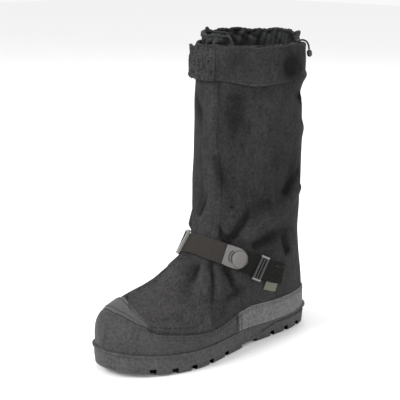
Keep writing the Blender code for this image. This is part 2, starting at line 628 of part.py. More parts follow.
def strap(group, cutters, webbing, dark_webbing, tab_plastic, plastic, woven):
    """Instep strap from the medial anchor through the buckle, over the instep to the lateral anchor."""
    over = STRAP_WALL + GAP
    band("strap_webbing", group, webbing, -14, 29, STRAP_WIDTH, 0, STRAP_WALL, 15)
    round_tab("strap_tab", group, tab_plastic, 26.5, 54, STRAP_WIDTH + 2 * MM, over + 0.5 * MM, 2.2 * MM)
    band("anchor_webbing", group, dark_webbing, 46, 111, STRAP_WIDTH, 0, STRAP_WALL, 18)
    made = band("strap_slider", group, plastic, 71, 83, BUCKLE_WIDTH, over, 2.6 * MM, 5)
    slots(made, cutters, (74.5, 79.5), STRAP_WIDTH, 3.2 * MM, over, 6 * MM)
    band("label", group, woven, 96, 108, 8.5 * MM, -0.3 * MM, 0.8 * MM, 5, shift=-18.5 * MM)
    made = band("buckle_male", group, plastic, -27, -13, BUCKLE_WIDTH, over, 3.2 * MM, 6)
    slots(made, cutters, (-17.5,), STRAP_WIDTH, 5 * MM, over, 8 * MM)
    band("buckle_female", group, plastic, -53, -27.6, BUCKLE_WIDTH - 2 * MM, over - 1.2 * MM, 6 * MM, 8)
    band("buckle_webbing", group, dark_webbing, -111, -53.35, STRAP_WIDTH, 0, STRAP_WALL, 16)


def cord(name, group, finish, points):
    """A round cord along a smooth curve through its points, which are given round the shaft."""
    turns, offsets, heights = (np.array(column) for column in zip(*points))
    route = shell_rows(np.radians(turns), [(offsets, heights)])[0]
    at = np.linspace(0, len(route) - 1, 2 * len(route) + 1)
    table = np.column_stack((np.arange(len(route)), route))
    smooth = np.column_stack([open_spline(table, k, at) for k in (1, 2, 3)])
    curve = bpy.data.curves.new(name, "CURVE")
    curve.dimensions = "3D"
    curve.bevel_depth = CORD_RADIUS
    curve.bevel_resolution = 2
    curve.use_fill_caps = True
    line = curve.splines.new("POLY")
    line.points.add(len(smooth) - 1)
    for point, co in zip(line.points, smooth):
        point.co = (*co, 1)
    curve.materials.append(finish)
    made = bpy.data.objects.new(name, curve)
    group.objects.link(made)
    return smooth[-1], smooth[-1] - smooth[-2]


def bead(name, group, finish, end, way, radius, length):
    """A short turned piece on the end of a cord, along a direction."""
    way = Vector(way).normalized()
    builder = bmesh.new()
    bmesh.ops.create_uvsphere(builder, u_segments=10, v_segments=8, radius=1)
    bmesh.ops.scale(builder, vec=(radius, radius, length / 2), verts=builder.verts)
    turn = Vector((0, 0, 1)).rotation_difference(way).to_matrix()
    bmesh.ops.rotate(builder, matrix=turn, verts=builder.verts)
    bmesh.ops.translate(builder, vec=Vector(end) + way * (length / 2 + GAP), verts=builder.verts)
    place(name, builder, finish, group)


def drawcord(group, finish, plastic):
    """Ends of the collar's drawcord: a lock at the rear, a knot at the front."""
    end, way = cord("drawcord_rear", group, finish, CORD_REAR)
    bead("cord_lock", group, plastic, end, way, LOCK_RADIUS, LOCK_LENGTH)
    end, way = cord("drawcord_front", group, finish, CORD_FRONT)
    bead("drawcord_knot", group, finish, end, way, KNOT_RADIUS, KNOT_LENGTH)


def hide_cutters(cutters):
    for cutter in cutters.objects:
        cutter.hide_render = True
        cutter.display_type = "WIRE"


def main():
    for old in list(bpy.data.objects):
        bpy.data.objects.remove(old)
    group, cutters = collection("winter_overshoe"), collection("cutters")
    rubber = material("sole_rubber", (0.035, 0.035, 0.036), 0.7)
    coated = material("rand_rubber", (0.045, 0.045, 0.046), 0.75)
    smooth = material("patch_rubber", (0.09, 0.09, 0.092), 0.5)
    fabric = material("shaft_fabric", (0.022, 0.022, 0.024), 0.85)
    loop_fabric = material("loop_fabric", (0.03, 0.03, 0.03), 0.95)
    thin_fabric = material("collar_nylon", (0.015, 0.015, 0.016), 0.45)
    board = material("insole_board", (0.1, 0.1, 0.1), 0.9)
    webbing = material("strap_webbing", (0.06, 0.055, 0.05), 0.8)
    dark_webbing = material("anchor_webbing", (0.015, 0.015, 0.015), 0.8)
    tab_plastic = material("tab_rubber", (0.14, 0.13, 0.13), 0.5)
    plastic = material("buckle_plastic", (0.012, 0.012, 0.012), 0.3)
    woven = material("label_woven", (0.05, 0.05, 0.04), 0.8)
    turn = np.linspace(0, 2 * np.pi, SKIN_COLUMNS, endpoint=False)[None, :]
    heights = level_heights(SKIN_ROWS)[:, None]
    heights[0] = -BOTTOM_TRIM
    grid = skin_points(turn, heights + 0 * turn)
    outsole(group, cutters, rubber)
    insole(group, board)
    upper(group, cutters, fabric, grid)
    rand_and_patch(group, cutters, coated, smooth, grid)
    front_flap(group, cutters, fabric, grid)
    cuff_and_collar(group, fabric, thin_fabric, loop_fabric)
    strap(group, cutters, webbing, dark_webbing, tab_plastic, plastic, woven)
    drawcord(group, webbing, plastic)
    hide_cutters(cutters)


main()
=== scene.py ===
"""Winter overshoe, left foot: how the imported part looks.

Frame: toe along -Y, heel along +Y, lateral side along +X, +Z up, the floor at z = 0. Metres.
"""
import functools
import math

import bmesh
import bpy
import numpy as np
from mathutils import Matrix, Vector, noise


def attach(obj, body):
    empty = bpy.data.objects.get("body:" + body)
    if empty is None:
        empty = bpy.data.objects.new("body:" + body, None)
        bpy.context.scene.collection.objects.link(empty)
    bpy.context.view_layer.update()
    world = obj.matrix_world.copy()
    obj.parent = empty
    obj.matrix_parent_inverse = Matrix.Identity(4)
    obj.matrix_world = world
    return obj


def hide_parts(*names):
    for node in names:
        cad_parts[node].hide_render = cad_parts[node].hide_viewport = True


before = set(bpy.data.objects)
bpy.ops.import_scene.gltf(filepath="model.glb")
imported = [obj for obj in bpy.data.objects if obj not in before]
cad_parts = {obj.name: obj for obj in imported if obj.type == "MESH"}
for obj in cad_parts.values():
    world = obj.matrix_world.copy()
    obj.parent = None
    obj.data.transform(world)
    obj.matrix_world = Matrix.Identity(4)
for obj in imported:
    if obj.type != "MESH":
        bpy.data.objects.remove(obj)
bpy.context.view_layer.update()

MM = 0.001
FINE = 1.0     # share of the full number of mesh columns

# The form's own sizes, as in the CAD part
LENGTH = 325 * MM
BALL_WIDTH = 122 * MM
SHAFT_TOP = 352 * MM
SHAFT_HALF_WIDTH = 62.5 * MM
SHAFT_HALF_DEPTH = 69.5 * MM
SHAFT_CENTRE_Y = 72.5 * MM
SHAFT_CENTRE_X = -1.0 * MM
WALL = 1.6 * MM
GAP = 0.3 * MM
CENTRE_X = -2.0 * MM
SOLE_HEIGHT = 23.5 * MM
TOE_SPRING = 9 * MM
TOP_SPRING = 0.9                      # share of the toe spring that the sole's top follows
SPRING_START = 0.236
UPPER_INSET = 3.2 * MM
HEEL_INSET = 3.0 * MM
BLEND = 9 * MM
FOOT_SPREAD = 0.38
SPRING_FADE = 45 * MM
RAND_JOINT_Y = 4.5 * MM
OVERLAY = 1.2 * MM
PATCH_BASE = 50 * MM                  # the toe patch stays above this height
CUFF_LOW = 316 * MM
WEBBING = 1.6 * MM
WEBBING_WIDTH = 25 * MM
HARDWARE_HALF = 15.5 * MM             # half width of slider and buckle across the strap
CORD_RADIUS = 1.1 * MM


def in_metres(rows, *columns):
    """A table whose listed columns are turned from mm into metres."""
    return tuple(tuple(value * MM if k in columns else value for k, value in enumerate(row)) for row in rows)


OUTLINE = (
    (-0.067, -0.500), (0.168, -0.478), (0.370, -0.393), (0.487, -0.283), (0.521, -0.173),
    (0.471, -0.031), (0.420, 0.094), (0.412, 0.220), (0.403, 0.346), (0.303, 0.450),
    (0.000, 0.500), (-0.303, 0.450), (-0.378, 0.346), (-0.361, 0.220), (-0.353, 0.094),
    (-0.403, -0.031), (-0.479, -0.189), (-0.454, -0.314), (-0.319, -0.440),
)
# Foot: y share of LENGTH, ridge height, fullness of the section's side and of its top, ridge's shift in x
FOOT = in_metres((
    (-0.500, 30, 2.6, 2.6, -4), (-0.485, 50, 2.6, 2.6, -4), (-0.455, 62, 2.6, 2.6, -5),
    (-0.400, 71, 2.6, 2.5, -6), (-0.320, 77, 2.6, 2.3, -7), (-0.220, 86, 2.4, 2.0, -7),
    (-0.120, 101, 2.2, 1.8, -6), (-0.040, 119, 2.1, 1.8, -4), (0.020, 136, 2.1, 1.9, -2),
    (0.150, 140, 2.2, 2.2, 0), (0.300, 122, 2.3, 2.2, 0), (0.400, 104, 2.4, 2.2, 0),
    (0.460, 84, 2.4, 2.2, 0), (0.500, 60, 2.4, 2.2, 0),
), 1, 4)
# Shaft: height share of SHAFT_TOP, centre's shift in y, shares of the half width and of the half depth
SHAFT = in_metres((
    (0.00, 0, 0.74, 1.02), (0.12, 0, 0.79, 1.03), (0.20, 1, 0.86, 1.02), (0.30, 1, 0.94, 0.985),
    (0.37, 0, 0.965, 0.970), (0.45, 0, 0.990, 0.995), (0.60, 1, 1.000, 1.005), (0.80, 2, 0.990, 0.995),
    (1.00, 3, 0.955, 0.965),
), 1)
# Height of the rand's top edge at y shares of LENGTH
RAND_TOP = in_metres((
    (-0.52, 84), (-0.400, 84), (-0.385, 52), (-0.355, 47.5), (-0.290, 43.5), (-0.220, 40), (-0.150, 38),
    (-0.100, 38.5), (-0.050, 41), (0.010, 46), (0.065, 48.5), (0.115, 52.5), (0.220, 56.5), (0.340, 58.5),
    (0.440, 60), (0.52, 61),
), 1)
# The toe patch's edges: x share of BALL_WIDTH, y share of LENGTH
PATCH_FRONT = ((-0.42, -0.345), (-0.32, -0.392), (-0.20, -0.420), (-0.05, -0.431), (0.10, -0.424),
               (0.20, -0.407), (0.285, -0.380))
PATCH_BACK = ((-0.42, -0.335), (-0.28, -0.335), (-0.16, -0.343), (-0.08, -0.358), (0.03, -0.376),
              (0.155, -0.386), (0.255, -0.381))
# Heights of the strap's line and of the cuff's lower edge at turns in degrees
STRAP = in_metres((
    (-111, 82), (-75, 97), (-53, 106), (-36, 113), (-18, 120), (0, 124), (18, 120), (36, 113), (53, 106),
    (75, 97), (111, 82),
), 1)
CUFF_EDGE = in_metres((
    (-180, 316), (-90, 316), (0, 319), (25, 318), (52, 313.5), (70, 315), (100, 317), (180, 316),
), 1)
# Sections of the cuff and of the collar: number, distance outside the shaft, height
CUFF_FOLD = in_metres((
    (0, 2.7, 316), (1, 2.7, 332), (2, 2.5, 344), (3, 2.3, 352.5), (4, 1.7, 356.3), (5, -0.8, 357.8),
    (6, -2.7, 355.3), (7, -2.7, 347),
), 1, 2)
COLLAR = in_metres(((0, -4.2, 340), (1, -4.2, 355), (2, -3.8, 362), (3, -3.6, 367), (4, -5.0, 370.5)), 1, 2)
# The drawcord's two ends: turn in degrees, distance outside the shaft, height
CORD_REAR = in_metres((
    (106, -1.7, 361.2), (110, -1.6, 361.0), (115, -1.4, 361.0), (120, -0.6, 361.6), (122.5, 2.0, 361.8),
    (125, 5.6, 359.5), (126.5, 7.6, 355.0), (127, 8.2, 350.5),
), 1, 2)
CORD_FRONT = in_metres((
    (23, -5.0, 370.5), (17, -5.0, 373.5), (11, -5.0, 373.6), (4, -5.0, 373.6), (-3, -4.7, 374.2),
    (-9.5, -4.2, 375.4),
), 1, 2)

# Creases of the fabric: depth (a trough is negative) and half width in mm, then points on the skin in mm.
# Each is sharpest at its first point and runs out softly.
CREASES = (
    (-5.0, 4.0, ((29, 5, 128), (34, 12, 137), (40, 19, 150), (45, 25, 162), (46, 27, 176))),
    (-3.5, 3.4, ((28, 4, 129), (24, 3, 137), (21, 3, 144), (19, 3, 152))),
    (2.4, 6.5, ((26, 4, 139), (30, 9, 150), (34, 14, 163), (36, 16, 178))),
    (3.2, 8.0, ((40, 17, 130), (48, 28, 140), (56, 47, 151), (61, 71, 158), (59, 90, 166))),
    (-2.4, 7.0, ((47, 28, 122), (54, 42, 128), (59, 60, 136), (60, 76, 142))),
    (-4.0, 6.5, ((57, 86, 106), (59, 80, 117), (60, 75, 131), (60, 71, 146))),
    (2.2, 8.0, ((55, 98, 112), (57, 95, 128), (58, 92, 146))),
    (-2.6, 3.6, ((21, -13, 110), (28, -18, 99), (35, -24, 87), (42, -34, 72), (49, -42, 56))),
    (-4.2, 3.6, ((33, -4, 104), (38, -2, 96), (42, 1, 87), (46, 2, 74), (48, 3, 64))),
    (2.6, 4.6, ((28, -12, 105), (35, -15, 91), (42, -20, 76), (48, -28, 62))),
    (-2.0, 4.5, ((44, -13, 66), (46, 2, 71), (47, 18, 75), (50, 33, 82))),
    (2.0, 6.0, ((42, 8, 93), (47, 16, 82), (50, 28, 70))),
    (-1.6, 3.0, ((30, 11, 171), (35, 15, 169))),
    (-1.8, 3.0, ((32, 12, 161), (37, 16, 159))),
    (-2.4, 3.0, ((-10, 0, 154), (-6, 0, 163), (-2, 1, 174), (0, 2, 186))),
    (-2.2, 12.0, ((61, 75, 178), (60, 86, 205), (59, 92, 232))),
    (1.8, 14.0, ((54, 44, 300), (54, 42, 262), (51, 36, 222), (47, 30, 196))),
    (-1.6, 12.0, ((33, 17, 305), (30, 14, 272), (30, 13, 240))),
    (-1.4, 10.0, ((59, 54, 173), (52, 35, 171), (43, 22, 163))),
    (-1.8, 9.0, ((13, -27, 105), (23, -54, 86), (36, -76, 68))),
    (1.6, 10.0, ((-6, -30, 104), (0, -60, 91), (12, -88, 78))),
    (-1.5, 8.0, ((57, 58, 95), (54, 53, 80), (51, 39, 67))),
    (-3.4, 5.0, ((-32, -14, 100), (-38, -24, 84), (-43, -38, 64))),
    (-3.2, 5.0, ((-45, 6, 94), (-47, 0, 78), (-47, -14, 60))),
    (2.6, 6.5, ((-40, -6, 96), (-44, -14, 80), (-46, -24, 64))),
    (-4.4, 4.6, ((-33, 6, 132), (-41, 16, 146), (-49, 28, 164), (-52, 34, 184))),
    (2.8, 8.0, ((-44, 16, 132), (-54, 36, 146), (-60, 62, 156), (-60, 84, 166))),
    (-3.6, 6.0, ((-55, 84, 102), (-58, 80, 118), (-59, 74, 136))),
    (-2.4, 7.0, ((-34, 134, 118), (-14, 142, 109), (12, 143, 110), (34, 134, 120))),
    (2.0, 7.0, ((-36, 132, 134), (-12, 141, 126), (14, 142, 127), (36, 132, 137))),
    (-1.8, 9.0, ((-40, 126, 158), (-12, 141, 147), (16, 140, 149), (42, 122, 162))),
    (-1.8, 12.0, ((-30, 130, 300), (-34, 128, 250), (-26, 134, 210))),
    (1.6, 12.0, ((6, 142, 305), (2, 142, 250), (10, 142, 205))),
    (-1.6, 12.0, ((-58, 50, 300), (-56, 44, 250), (-60, 62, 205))),
    (-2.0, 9.0, ((-16, -44, 98), (-30, -62, 78), (-42, -78, 58))),
    (3.4, 8.0, ((44, 122, 320), (54, 106, 319), (61, 84, 318))),
    (3.0, 8.0, ((44, 122, 320), (30, 136, 322), (10, 143, 322))),
    (-3.2, 9.0, ((47, 118, 293), (56, 104, 296), (61, 84, 302))),
    (-2.8, 9.0, ((47, 118, 293), (32, 134, 296), (12, 142, 300))),
    (2.2, 12.0, ((48, 117, 258), (58, 98, 250), (60, 78, 236))),
    (-2.2, 8.0, ((52, 110, 205), (59, 92, 196), (60, 74, 183), (55, 52, 174))),
    (2.4, 9.0, ((52, 110, 186), (60, 90, 178), (60, 72, 166))),
    (-1.8, 7.0, ((8, 3, 232), (15, 6, 214), (20, 8, 196), (26, 9, 180))),
    (-2.0, 7.0, ((-30, 20, 296), (-20, 10, 280), (-9, 6, 262))),
    (-1.8, 3.4, ((14, -24, 106), (19, -34, 96), (24, -48, 86))),
    (1.6, 4.0, ((18, -22, 105), (24, -32, 94), (31, -46, 80))),
)

# Front flap: medial, middle and lateral point of each station from the cuff to the toe, in mm
FLAP = (
    ((-8, 5, 330), (1, 5, 330), (10, 7, 330)),
    ((-8, 5, 293), (2, 5, 293), (12, 7, 293)),
    ((-8, 5, 255), (1, 4, 255), (11, 6, 255)),
    ((-8, 4, 225), (3, 4, 226), (14, 6, 228)),
    ((-5, 3, 203), (6, 3, 204), (17, 6, 206)),
    ((-3, 2, 184), (8, 2, 184), (19, 6, 184)),
    ((-10, 1, 162), (5, 0, 163), (19.5, 4, 164)),
    ((-18, 0, 143), (2, -3, 142), (20, 2, 141)),
    ((-19, -8, 125), (1, -10, 124), (20.5, -8, 119)),
    ((-20, -22, 108), (5, -22, 108), (27, -16, 101)),
    ((-21, -40, 98), (10, -40, 96), (35, -24, 87)),
    ((-22, -60, 90), (12, -62, 87), (43, -35, 70)),
    ((-23, -80, 83), (12, -84, 79), (53, -46, 44)),
    ((-25, -98, 78), (9, -104, 74), (49.5, -90, 46)),
    ((-27, -109.6, 75.5), (2, -120.4, 71.5), (29, -121.6, 55)),
)


def closed_spline(points, count):
    """Points spread along a closed Catmull-Rom curve."""
    at = np.linspace(0, len(points), count, endpoint=False)
    i = at.astype(int)
    f = (at - i)[:, None]
    a, b, c, d = (np.take(points, i + k, axis=0, mode="wrap") for k in (-1, 0, 1, 2))
    return 0.5 * (2 * b + (c - a) * f + (2 * a - 5 * b + 4 * c - d) * f ** 2 + (3 * b - a - 3 * c + d) * f ** 3)


@functools.lru_cache(maxsize=None)
def table_slopes(table, column):
    """A table's first column, another column and that one's slope."""
    rows = np.array(table, float)
    return rows[:, 0], rows[:, column], np.gradient(rows[:, column], rows[:, 0])


def open_spline(table, column, x):
    """Smooth value of one column of a table at x, the table's first column."""
    xs, ys, slope = table_slopes(table, column)
    x = np.minimum(np.maximum(x, xs[0]), xs[-1])
    i = np.clip(np.searchsorted(xs, x) - 1, 0, len(xs) - 2)
    h = xs[i + 1] - xs[i]
    t = (x - xs[i]) / h
    return ((2 * t ** 3 - 3 * t ** 2 + 1) * ys[i] + (t ** 3 - 2 * t ** 2 + t) * h * slope[i]
            + (3 * t ** 2 - 2 * t ** 3) * ys[i + 1] + (t ** 3 - t ** 2) * h * slope[i + 1])


EDGE = closed_spline(np.array(OUTLINE) * (BALL_WIDTH, LENGTH) + (CENTRE_X, 0), 1200)
TIP, TAIL = EDGE[:, 1].argmin(), EDGE[:, 1].argmax()
LATERAL_EDGE = np.roll(EDGE, -TIP, axis=0)[:(TAIL - TIP) % len(EDGE) + 1]
MEDIAL_EDGE = np.roll(EDGE, -TAIL, axis=0)[:(TIP - TAIL) % len(EDGE) + 1][::-1]


def array_spline(values, at):
    """Smooth value of each column of an array of rows at a row number that may lie between two."""
    rows = tuple((k, *row) for k, row in enumerate(values.tolist()))
    return np.stack([open_spline(rows, k, at) for k in range(1, len(rows[0]))], axis=-1)


def smooth(t):
    """Soft step from 0 to 1."""
    t = np.clip(t, 0, 1)
    return t * t * (3 - 2 * t)


def edge_x(y, side):
    """The sole's outline at y, on the lateral (1) or the medial (-1) side."""
    half = LATERAL_EDGE if side > 0 else MEDIAL_EDGE
    return np.interp(y, half[:, 1], half[:, 0])


def spring(y):
    start = -SPRING_START * LENGTH
    return TOE_SPRING * np.clip((start - y) / (start + LENGTH / 2), 0, 1.1) ** 2


def sole_top(y):
    return SOLE_HEIGHT + TOP_SPRING * spring(y)


def foot_field(x, y, z):
    """Signed size, about in metres, of a point's distance outside the foot's form."""
    end = LENGTH / 2 - UPPER_INSET - np.where(y > 0, HEEL_INSET, 0)
    share = y / LENGTH
    at_edge = y * (LENGTH / 2) / end
    left, right = edge_x(at_edge, -1), edge_x(at_edge, 1)
    middle, half = (left + right) / 2, np.maximum((right - left) / 2 - UPPER_INSET, 1e-5)
    base = sole_top(y)
    tall = open_spline(FOOT, 1, share) - base
    rise = np.clip((z - base) / tall, 0, 8)
    side_power, top_power = open_spline(FOOT, 2, share), open_spline(FOOT, 3, share)
    ridge = open_spline(FOOT, 4, share) * np.clip(rise, 0, 1) ** 1.5
    across = np.abs(x - middle - ridge) / half
    beyond = 20 * np.clip(np.abs(y) - end, 0, 1)
    level = (np.clip(across, 0, 12) ** side_power + rise ** top_power) ** (1 / side_power) - 1
    return level * np.clip(half, 8 * MM, 45 * MM) + beyond


def shaft_field(x, y, z):
    share = z / SHAFT_TOP
    centre = SHAFT_CENTRE_Y + open_spline(SHAFT, 1, share)
    half_width = SHAFT_HALF_WIDTH * open_spline(SHAFT, 2, share)
    half_depth = SHAFT_HALF_DEPTH * open_spline(SHAFT, 3, share)
    return (np.hypot((x - SHAFT_CENTRE_X) / half_width, (y - centre) / half_depth) - 1) * half_width


def body_field(x, y, z):
    foot, shaft = foot_field(x, y, z), shaft_field(x, y, z)
    low, high = np.minimum(foot, shaft), np.maximum(foot, shaft)
    return low - BLEND * np.log1p(np.exp((low - high) / BLEND))


def centre_at(height):
    """The point that turns are measured about, and how far they are drawn in across the foot."""
    share = smooth(height / (130 * MM - SOLE_HEIGHT))
    spread = FOOT_SPREAD * (1 - share) + SHAFT_HALF_WIDTH / SHAFT_HALF_DEPTH * share
    return SHAFT_CENTRE_X * share, SHAFT_CENTRE_Y * share, spread


def skin_points(turn, height):
    """Outer skin at each turn round the shoe (0 at the front, then lateral) and height over the sole."""
    turn, height = np.broadcast_arrays(np.asarray(turn, float), np.asarray(height, float))
    centre_x, centre_y, spread = centre_at(height)
    way_x, way_y = np.sin(turn) * spread, -np.cos(turn)
    long = np.hypot(way_x, way_y)
    way_x, way_y = way_x / long, way_y / long
    near, far = np.zeros_like(way_x), np.full_like(way_x, 0.7 * LENGTH)
    for _ in range(22):
        reach = (near + far) / 2
        x, y = centre_x + reach * way_x, centre_y + reach * way_y
        z = SOLE_HEIGHT + GAP + height + TOP_SPRING * spring(y) * np.clip(1 - height / SPRING_FADE, 0, 1)
        outside = body_field(x, y, z) > 0
        far, near = np.where(outside, reach, far), np.where(outside, near, reach)
    return np.stack((x, y, z), axis=-1)


def turn_and_height(points):
    """The turn and height of points given in metres."""
    x, y, z = np.moveaxis(np.asarray(points, float), -1, 0)
    height = z
    for _ in range(20):
        height = z - SOLE_HEIGHT - GAP - TOP_SPRING * spring(y) * np.clip(1 - height / SPRING_FADE, 0, 1)
    centre_x, centre_y, spread = centre_at(height)
    return np.arctan2((x - centre_x) / spread, -(y - centre_y)), height


def field_normals(points):
    x, y, z = np.moveaxis(points, -1, 0)
    step = 0.4 * MM
    slope = np.stack((
        body_field(x + step, y, z) - body_field(x - step, y, z),
        body_field(x, y + step, z) - body_field(x, y - step, z),
        body_field(x, y, z + step) - body_field(x, y, z - step)), axis=-1)
    return slope / np.linalg.norm(slope, axis=-1, keepdims=True)


def line_distance(points, line):
    """Distance from each point to a line of points, and how far along the line, 0 to 1, the nearest place is."""
    runs = np.linalg.norm(np.diff(line, axis=0), axis=1)
    starts = np.concatenate(((0,), np.cumsum(runs)))
    best = np.full(points.shape[:-1], 1e9)
    place = np.zeros(points.shape[:-1])
    for a, b, run, start in zip(line, line[1:], runs, starts):
        way = (b - a) / run
        along = np.clip((points - a) @ way, 0, run)
        away = np.linalg.norm(points - a - along[..., None] * way, axis=-1)
        nearer = away < best
        best = np.where(nearer, away, best)
        place = np.where(nearer, (start + along) / starts[-1], place)
    return best, place


def strap_height(turn):
    return open_spline(STRAP, 1, np.degrees(turn))


def creases(points):
    total = np.zeros(points.shape[:-1])
    for depth, width, line in CREASES:
        away, place = line_distance(points, np.array(line, float) * MM)
        ends = smooth((place + 0.02) / 0.1) * smooth((1.02 - place) / 0.55)
        total += 1.5 * depth * MM * np.exp(-(away / (width * MM)) ** 2) * ends
    return total


def crease_shade(u, v, points):
    """Painted light and shade on the fabric: painted shade down in a crease, a painted highlight on its crest."""
    rise = creases(points)
    # painted light: the fabric is made lighter towards the bottom
    low = 0.42 * smooth((125 * MM - points[..., 2]) / (60 * MM))
    return np.clip(rise / (5 * MM), -0.75, 0.0) + np.clip(rise / (12 * MM), 0.0, 0.25) + low


def relief(points):
    """How far the fabric stands off its plain form: creases, the strap's pull and slow waves."""
    x, y, z = np.moveaxis(points, -1, 0)
    total = creases(points)
    turn, _ = turn_and_height(points)
    above = z - strap_height(turn)
    around = smooth((math.radians(128) - np.abs(turn)) / math.radians(16))
    total += around * 1.3 * MM * np.exp(-((np.abs(above) - 24 * MM) / (9 * MM)) ** 2)
    total *= 1 - around * smooth((17 * MM - np.abs(above)) / (6 * MM))
    total -= around * 0.5 * MM * smooth((13 * MM - np.abs(above)) / (3 * MM))
    waves = np.sin(41 * z + 3.1 * np.sin(turn)) * np.sin(2 * turn + 23 * z + 0.6)
    waves += 0.6 * np.sin(97 * z - 5 * turn + 1.0) * np.sin(3 * turn - 37 * z + 2.0)
    total += 0.5 * MM * waves * smooth((z - 130 * MM) / (60 * MM))
    rand = np.interp(y / LENGTH, *zip(*RAND_TOP))
    rand = np.where(y < -0.40 * LENGTH, 62 * MM, rand)
    return total * smooth((z - rand) / (12 * MM)) * smooth((350 * MM - z) / (26 * MM))


def on_skin(turn, height, lift=0.0, folds=True):
    """Points and normals on the creased skin, lifted off it."""
    points = skin_points(turn, height)
    normals = field_normals(points)
    rise = relief(points) if folds else 0.0
    return points + (np.asarray(rise + lift) + 0 * points[..., 0])[..., None] * normals, normals


def grid(name, columns, rows, place, finish, wrap=False, texture=(1, 1), steps=True, shade=None):
    """A piece from a flat grid whose vertices are put in place by a function of two shares, 0 to 1."""
    columns, rows = max(2, round(columns * (FINE if steps else 1))), max(1, round(rows * (FINE if steps else 1)))
    builder = bmesh.new()
    bmesh.ops.create_grid(builder, x_segments=columns, y_segments=rows, size=0.5)
    flat = np.array([v.co[:2] for v in builder.verts]) + 0.5
    points = place(flat[:, 0], flat[:, 1])
    layer = builder.loops.layers.uv.new("UVMap")
    for vert, point in zip(builder.verts, points):
        vert.co = point
    if shade:
        tone = builder.verts.layers.float.new("shade")
        for vert, value in zip(builder.verts, shade(flat[:, 0], flat[:, 1], points)):
            vert[tone] = value
    for face in builder.faces:
        for loop in face.loops:
            u, v = flat[loop.vert.index]
            loop[layer].uv = (u * texture[0], v * texture[1])
    if wrap:
        bmesh.ops.remove_doubles(builder, verts=builder.verts, dist=1e-6)
    return finished(name, builder, finish)


def finished(name, builder, finish, angle=35):
    mesh = bpy.data.meshes.new(name)
    builder.to_mesh(mesh)
    builder.free()
    mesh.materials.append(finish)
    mesh.shade_smooth()
    mesh.set_sharp_from_angle(angle=math.radians(angle))
    made = bpy.data.objects.new(name, mesh)
    bpy.context.scene.collection.objects.link(made)
    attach(made, "root")
    return made


def thicken(made, thickness, side=1, bevel=0.0):
    """Give a sheet its thickness, outwards (1), inwards (-1) or both ways (0), with eased edges."""
    wall = made.modifiers.new("wall", "SOLIDIFY")
    wall.thickness = thickness
    wall.offset = side
    if bevel:
        ease = made.modifiers.new("ease", "BEVEL")
        ease.width = bevel
        ease.segments = 3
        ease.limit_method = "ANGLE"
        ease.angle_limit = math.radians(50)
        ease.harden_normals = True
    return made


def run_of(path):
    return float(np.linalg.norm(np.diff(path, axis=0), axis=1).sum())


def tube(name, path, radius, finish, sides=12, ends=True, ripple=None):
    """A round tube along a path of points, with domed ends."""
    path = np.asarray(path, float)
    ways = np.gradient(path, axis=0)
    ways /= np.linalg.norm(ways, axis=1, keepdims=True)
    side = np.cross(ways[0], (0.3, 0.2, 0.93))
    sides_at = []
    for way in ways:
        side = side - way * (side @ way)
        side = side / np.linalg.norm(side)
        sides_at.append(side)
    sides_at = np.array(sides_at)
    lift = np.cross(ways, sides_at)
    count = len(path)
    cap = 4 if ends else 0
    rings = count - 1 + 2 * cap
    runs = np.arange(rings + 1)
    index = np.clip(runs - cap, 0, count - 1)
    before, after = np.clip(cap - runs, 0, cap), np.clip(runs - cap - count + 1, 0, cap)
    beyond = np.sin(np.pi / 2 * (after - before) / max(cap, 1))
    narrow = np.cos(np.pi / 2 * (after + before) / max(cap, 1)) if cap else np.ones(rings + 1)
    narrow = np.maximum(narrow, 0.02)

    def place(across, along):
        k = np.rint(along * rings).astype(int)
        angle = 2 * np.pi * across
        width = radius * narrow[k] * (1 if ripple is None else ripple(angle, along))
        out = np.cos(angle)[:, None] * sides_at[index[k]] + np.sin(angle)[:, None] * lift[index[k]]
        return path[index[k]] + (beyond[k] * radius)[:, None] * ways[index[k]] + width[:, None] * out

    return grid(name, sides, rings, place, finish, wrap=True, texture=(2 * np.pi * radius, run_of(path)),
                steps=False)


def resample(points, step):
    """Points a step apart along a line, and how far along it they are, 0 to 1."""
    run = np.concatenate(((0,), np.cumsum(np.linalg.norm(np.diff(points, axis=0), axis=1))))
    at = np.arange(step / 2, run[-1], step)
    return np.column_stack([np.interp(at, run, points[:, k]) for k in range(3)]), at / run[-1]


def stitches(name, lines, finish, pitch=3.0 * MM, length=2.1 * MM, width=0.3 * MM):
    """Rows of thread along lines, each a pair of points and normals."""
    spots, ways, outs = [], [], []
    for points, normals in lines:
        at, share = resample(points, pitch)
        index = np.linspace(0, 1, len(points))
        spots.append(at)
        ways.append(np.gradient(at, axis=0))
        outs.append(np.column_stack([np.interp(share, index, normals[:, k]) for k in range(3)]))
    spots, ways, outs = (np.concatenate(parts) for parts in (spots, ways, outs))
    ways /= np.linalg.norm(ways, axis=1, keepdims=True)
    outs -= ways * (outs * ways).sum(axis=1, keepdims=True)
    outs /= np.linalg.norm(outs, axis=1, keepdims=True)
    across = np.cross(ways, outs)
    builder = bmesh.new()
    bmesh.ops.create_uvsphere(builder, u_segments=6, v_segments=4, radius=1)
    unit = np.array([v.co for v in builder.verts])
    copies, double = 1, bpy.data.meshes.new("double")
    while copies < len(spots):
        builder.to_mesh(double)
        builder.from_mesh(double)
        copies *= 2
    bpy.data.meshes.remove(double)
    builder.verts.ensure_lookup_table()
    bmesh.ops.delete(builder, geom=builder.verts[len(spots) * len(unit):], context="VERTS")
    axes = np.stack((ways * length / 2, across * width, outs * width), axis=1)
    placed = spots[:, None] + 0.1 * MM * outs[:, None] + unit @ axes
    for vert, point in zip(builder.verts, placed.reshape(-1, 3)):
        vert.co = point
    return finished(name, builder, finish, angle=180)


# Materials

WAVE_SCALE = 0.314159     # at this scale the bands of a wave texture are one unit apart


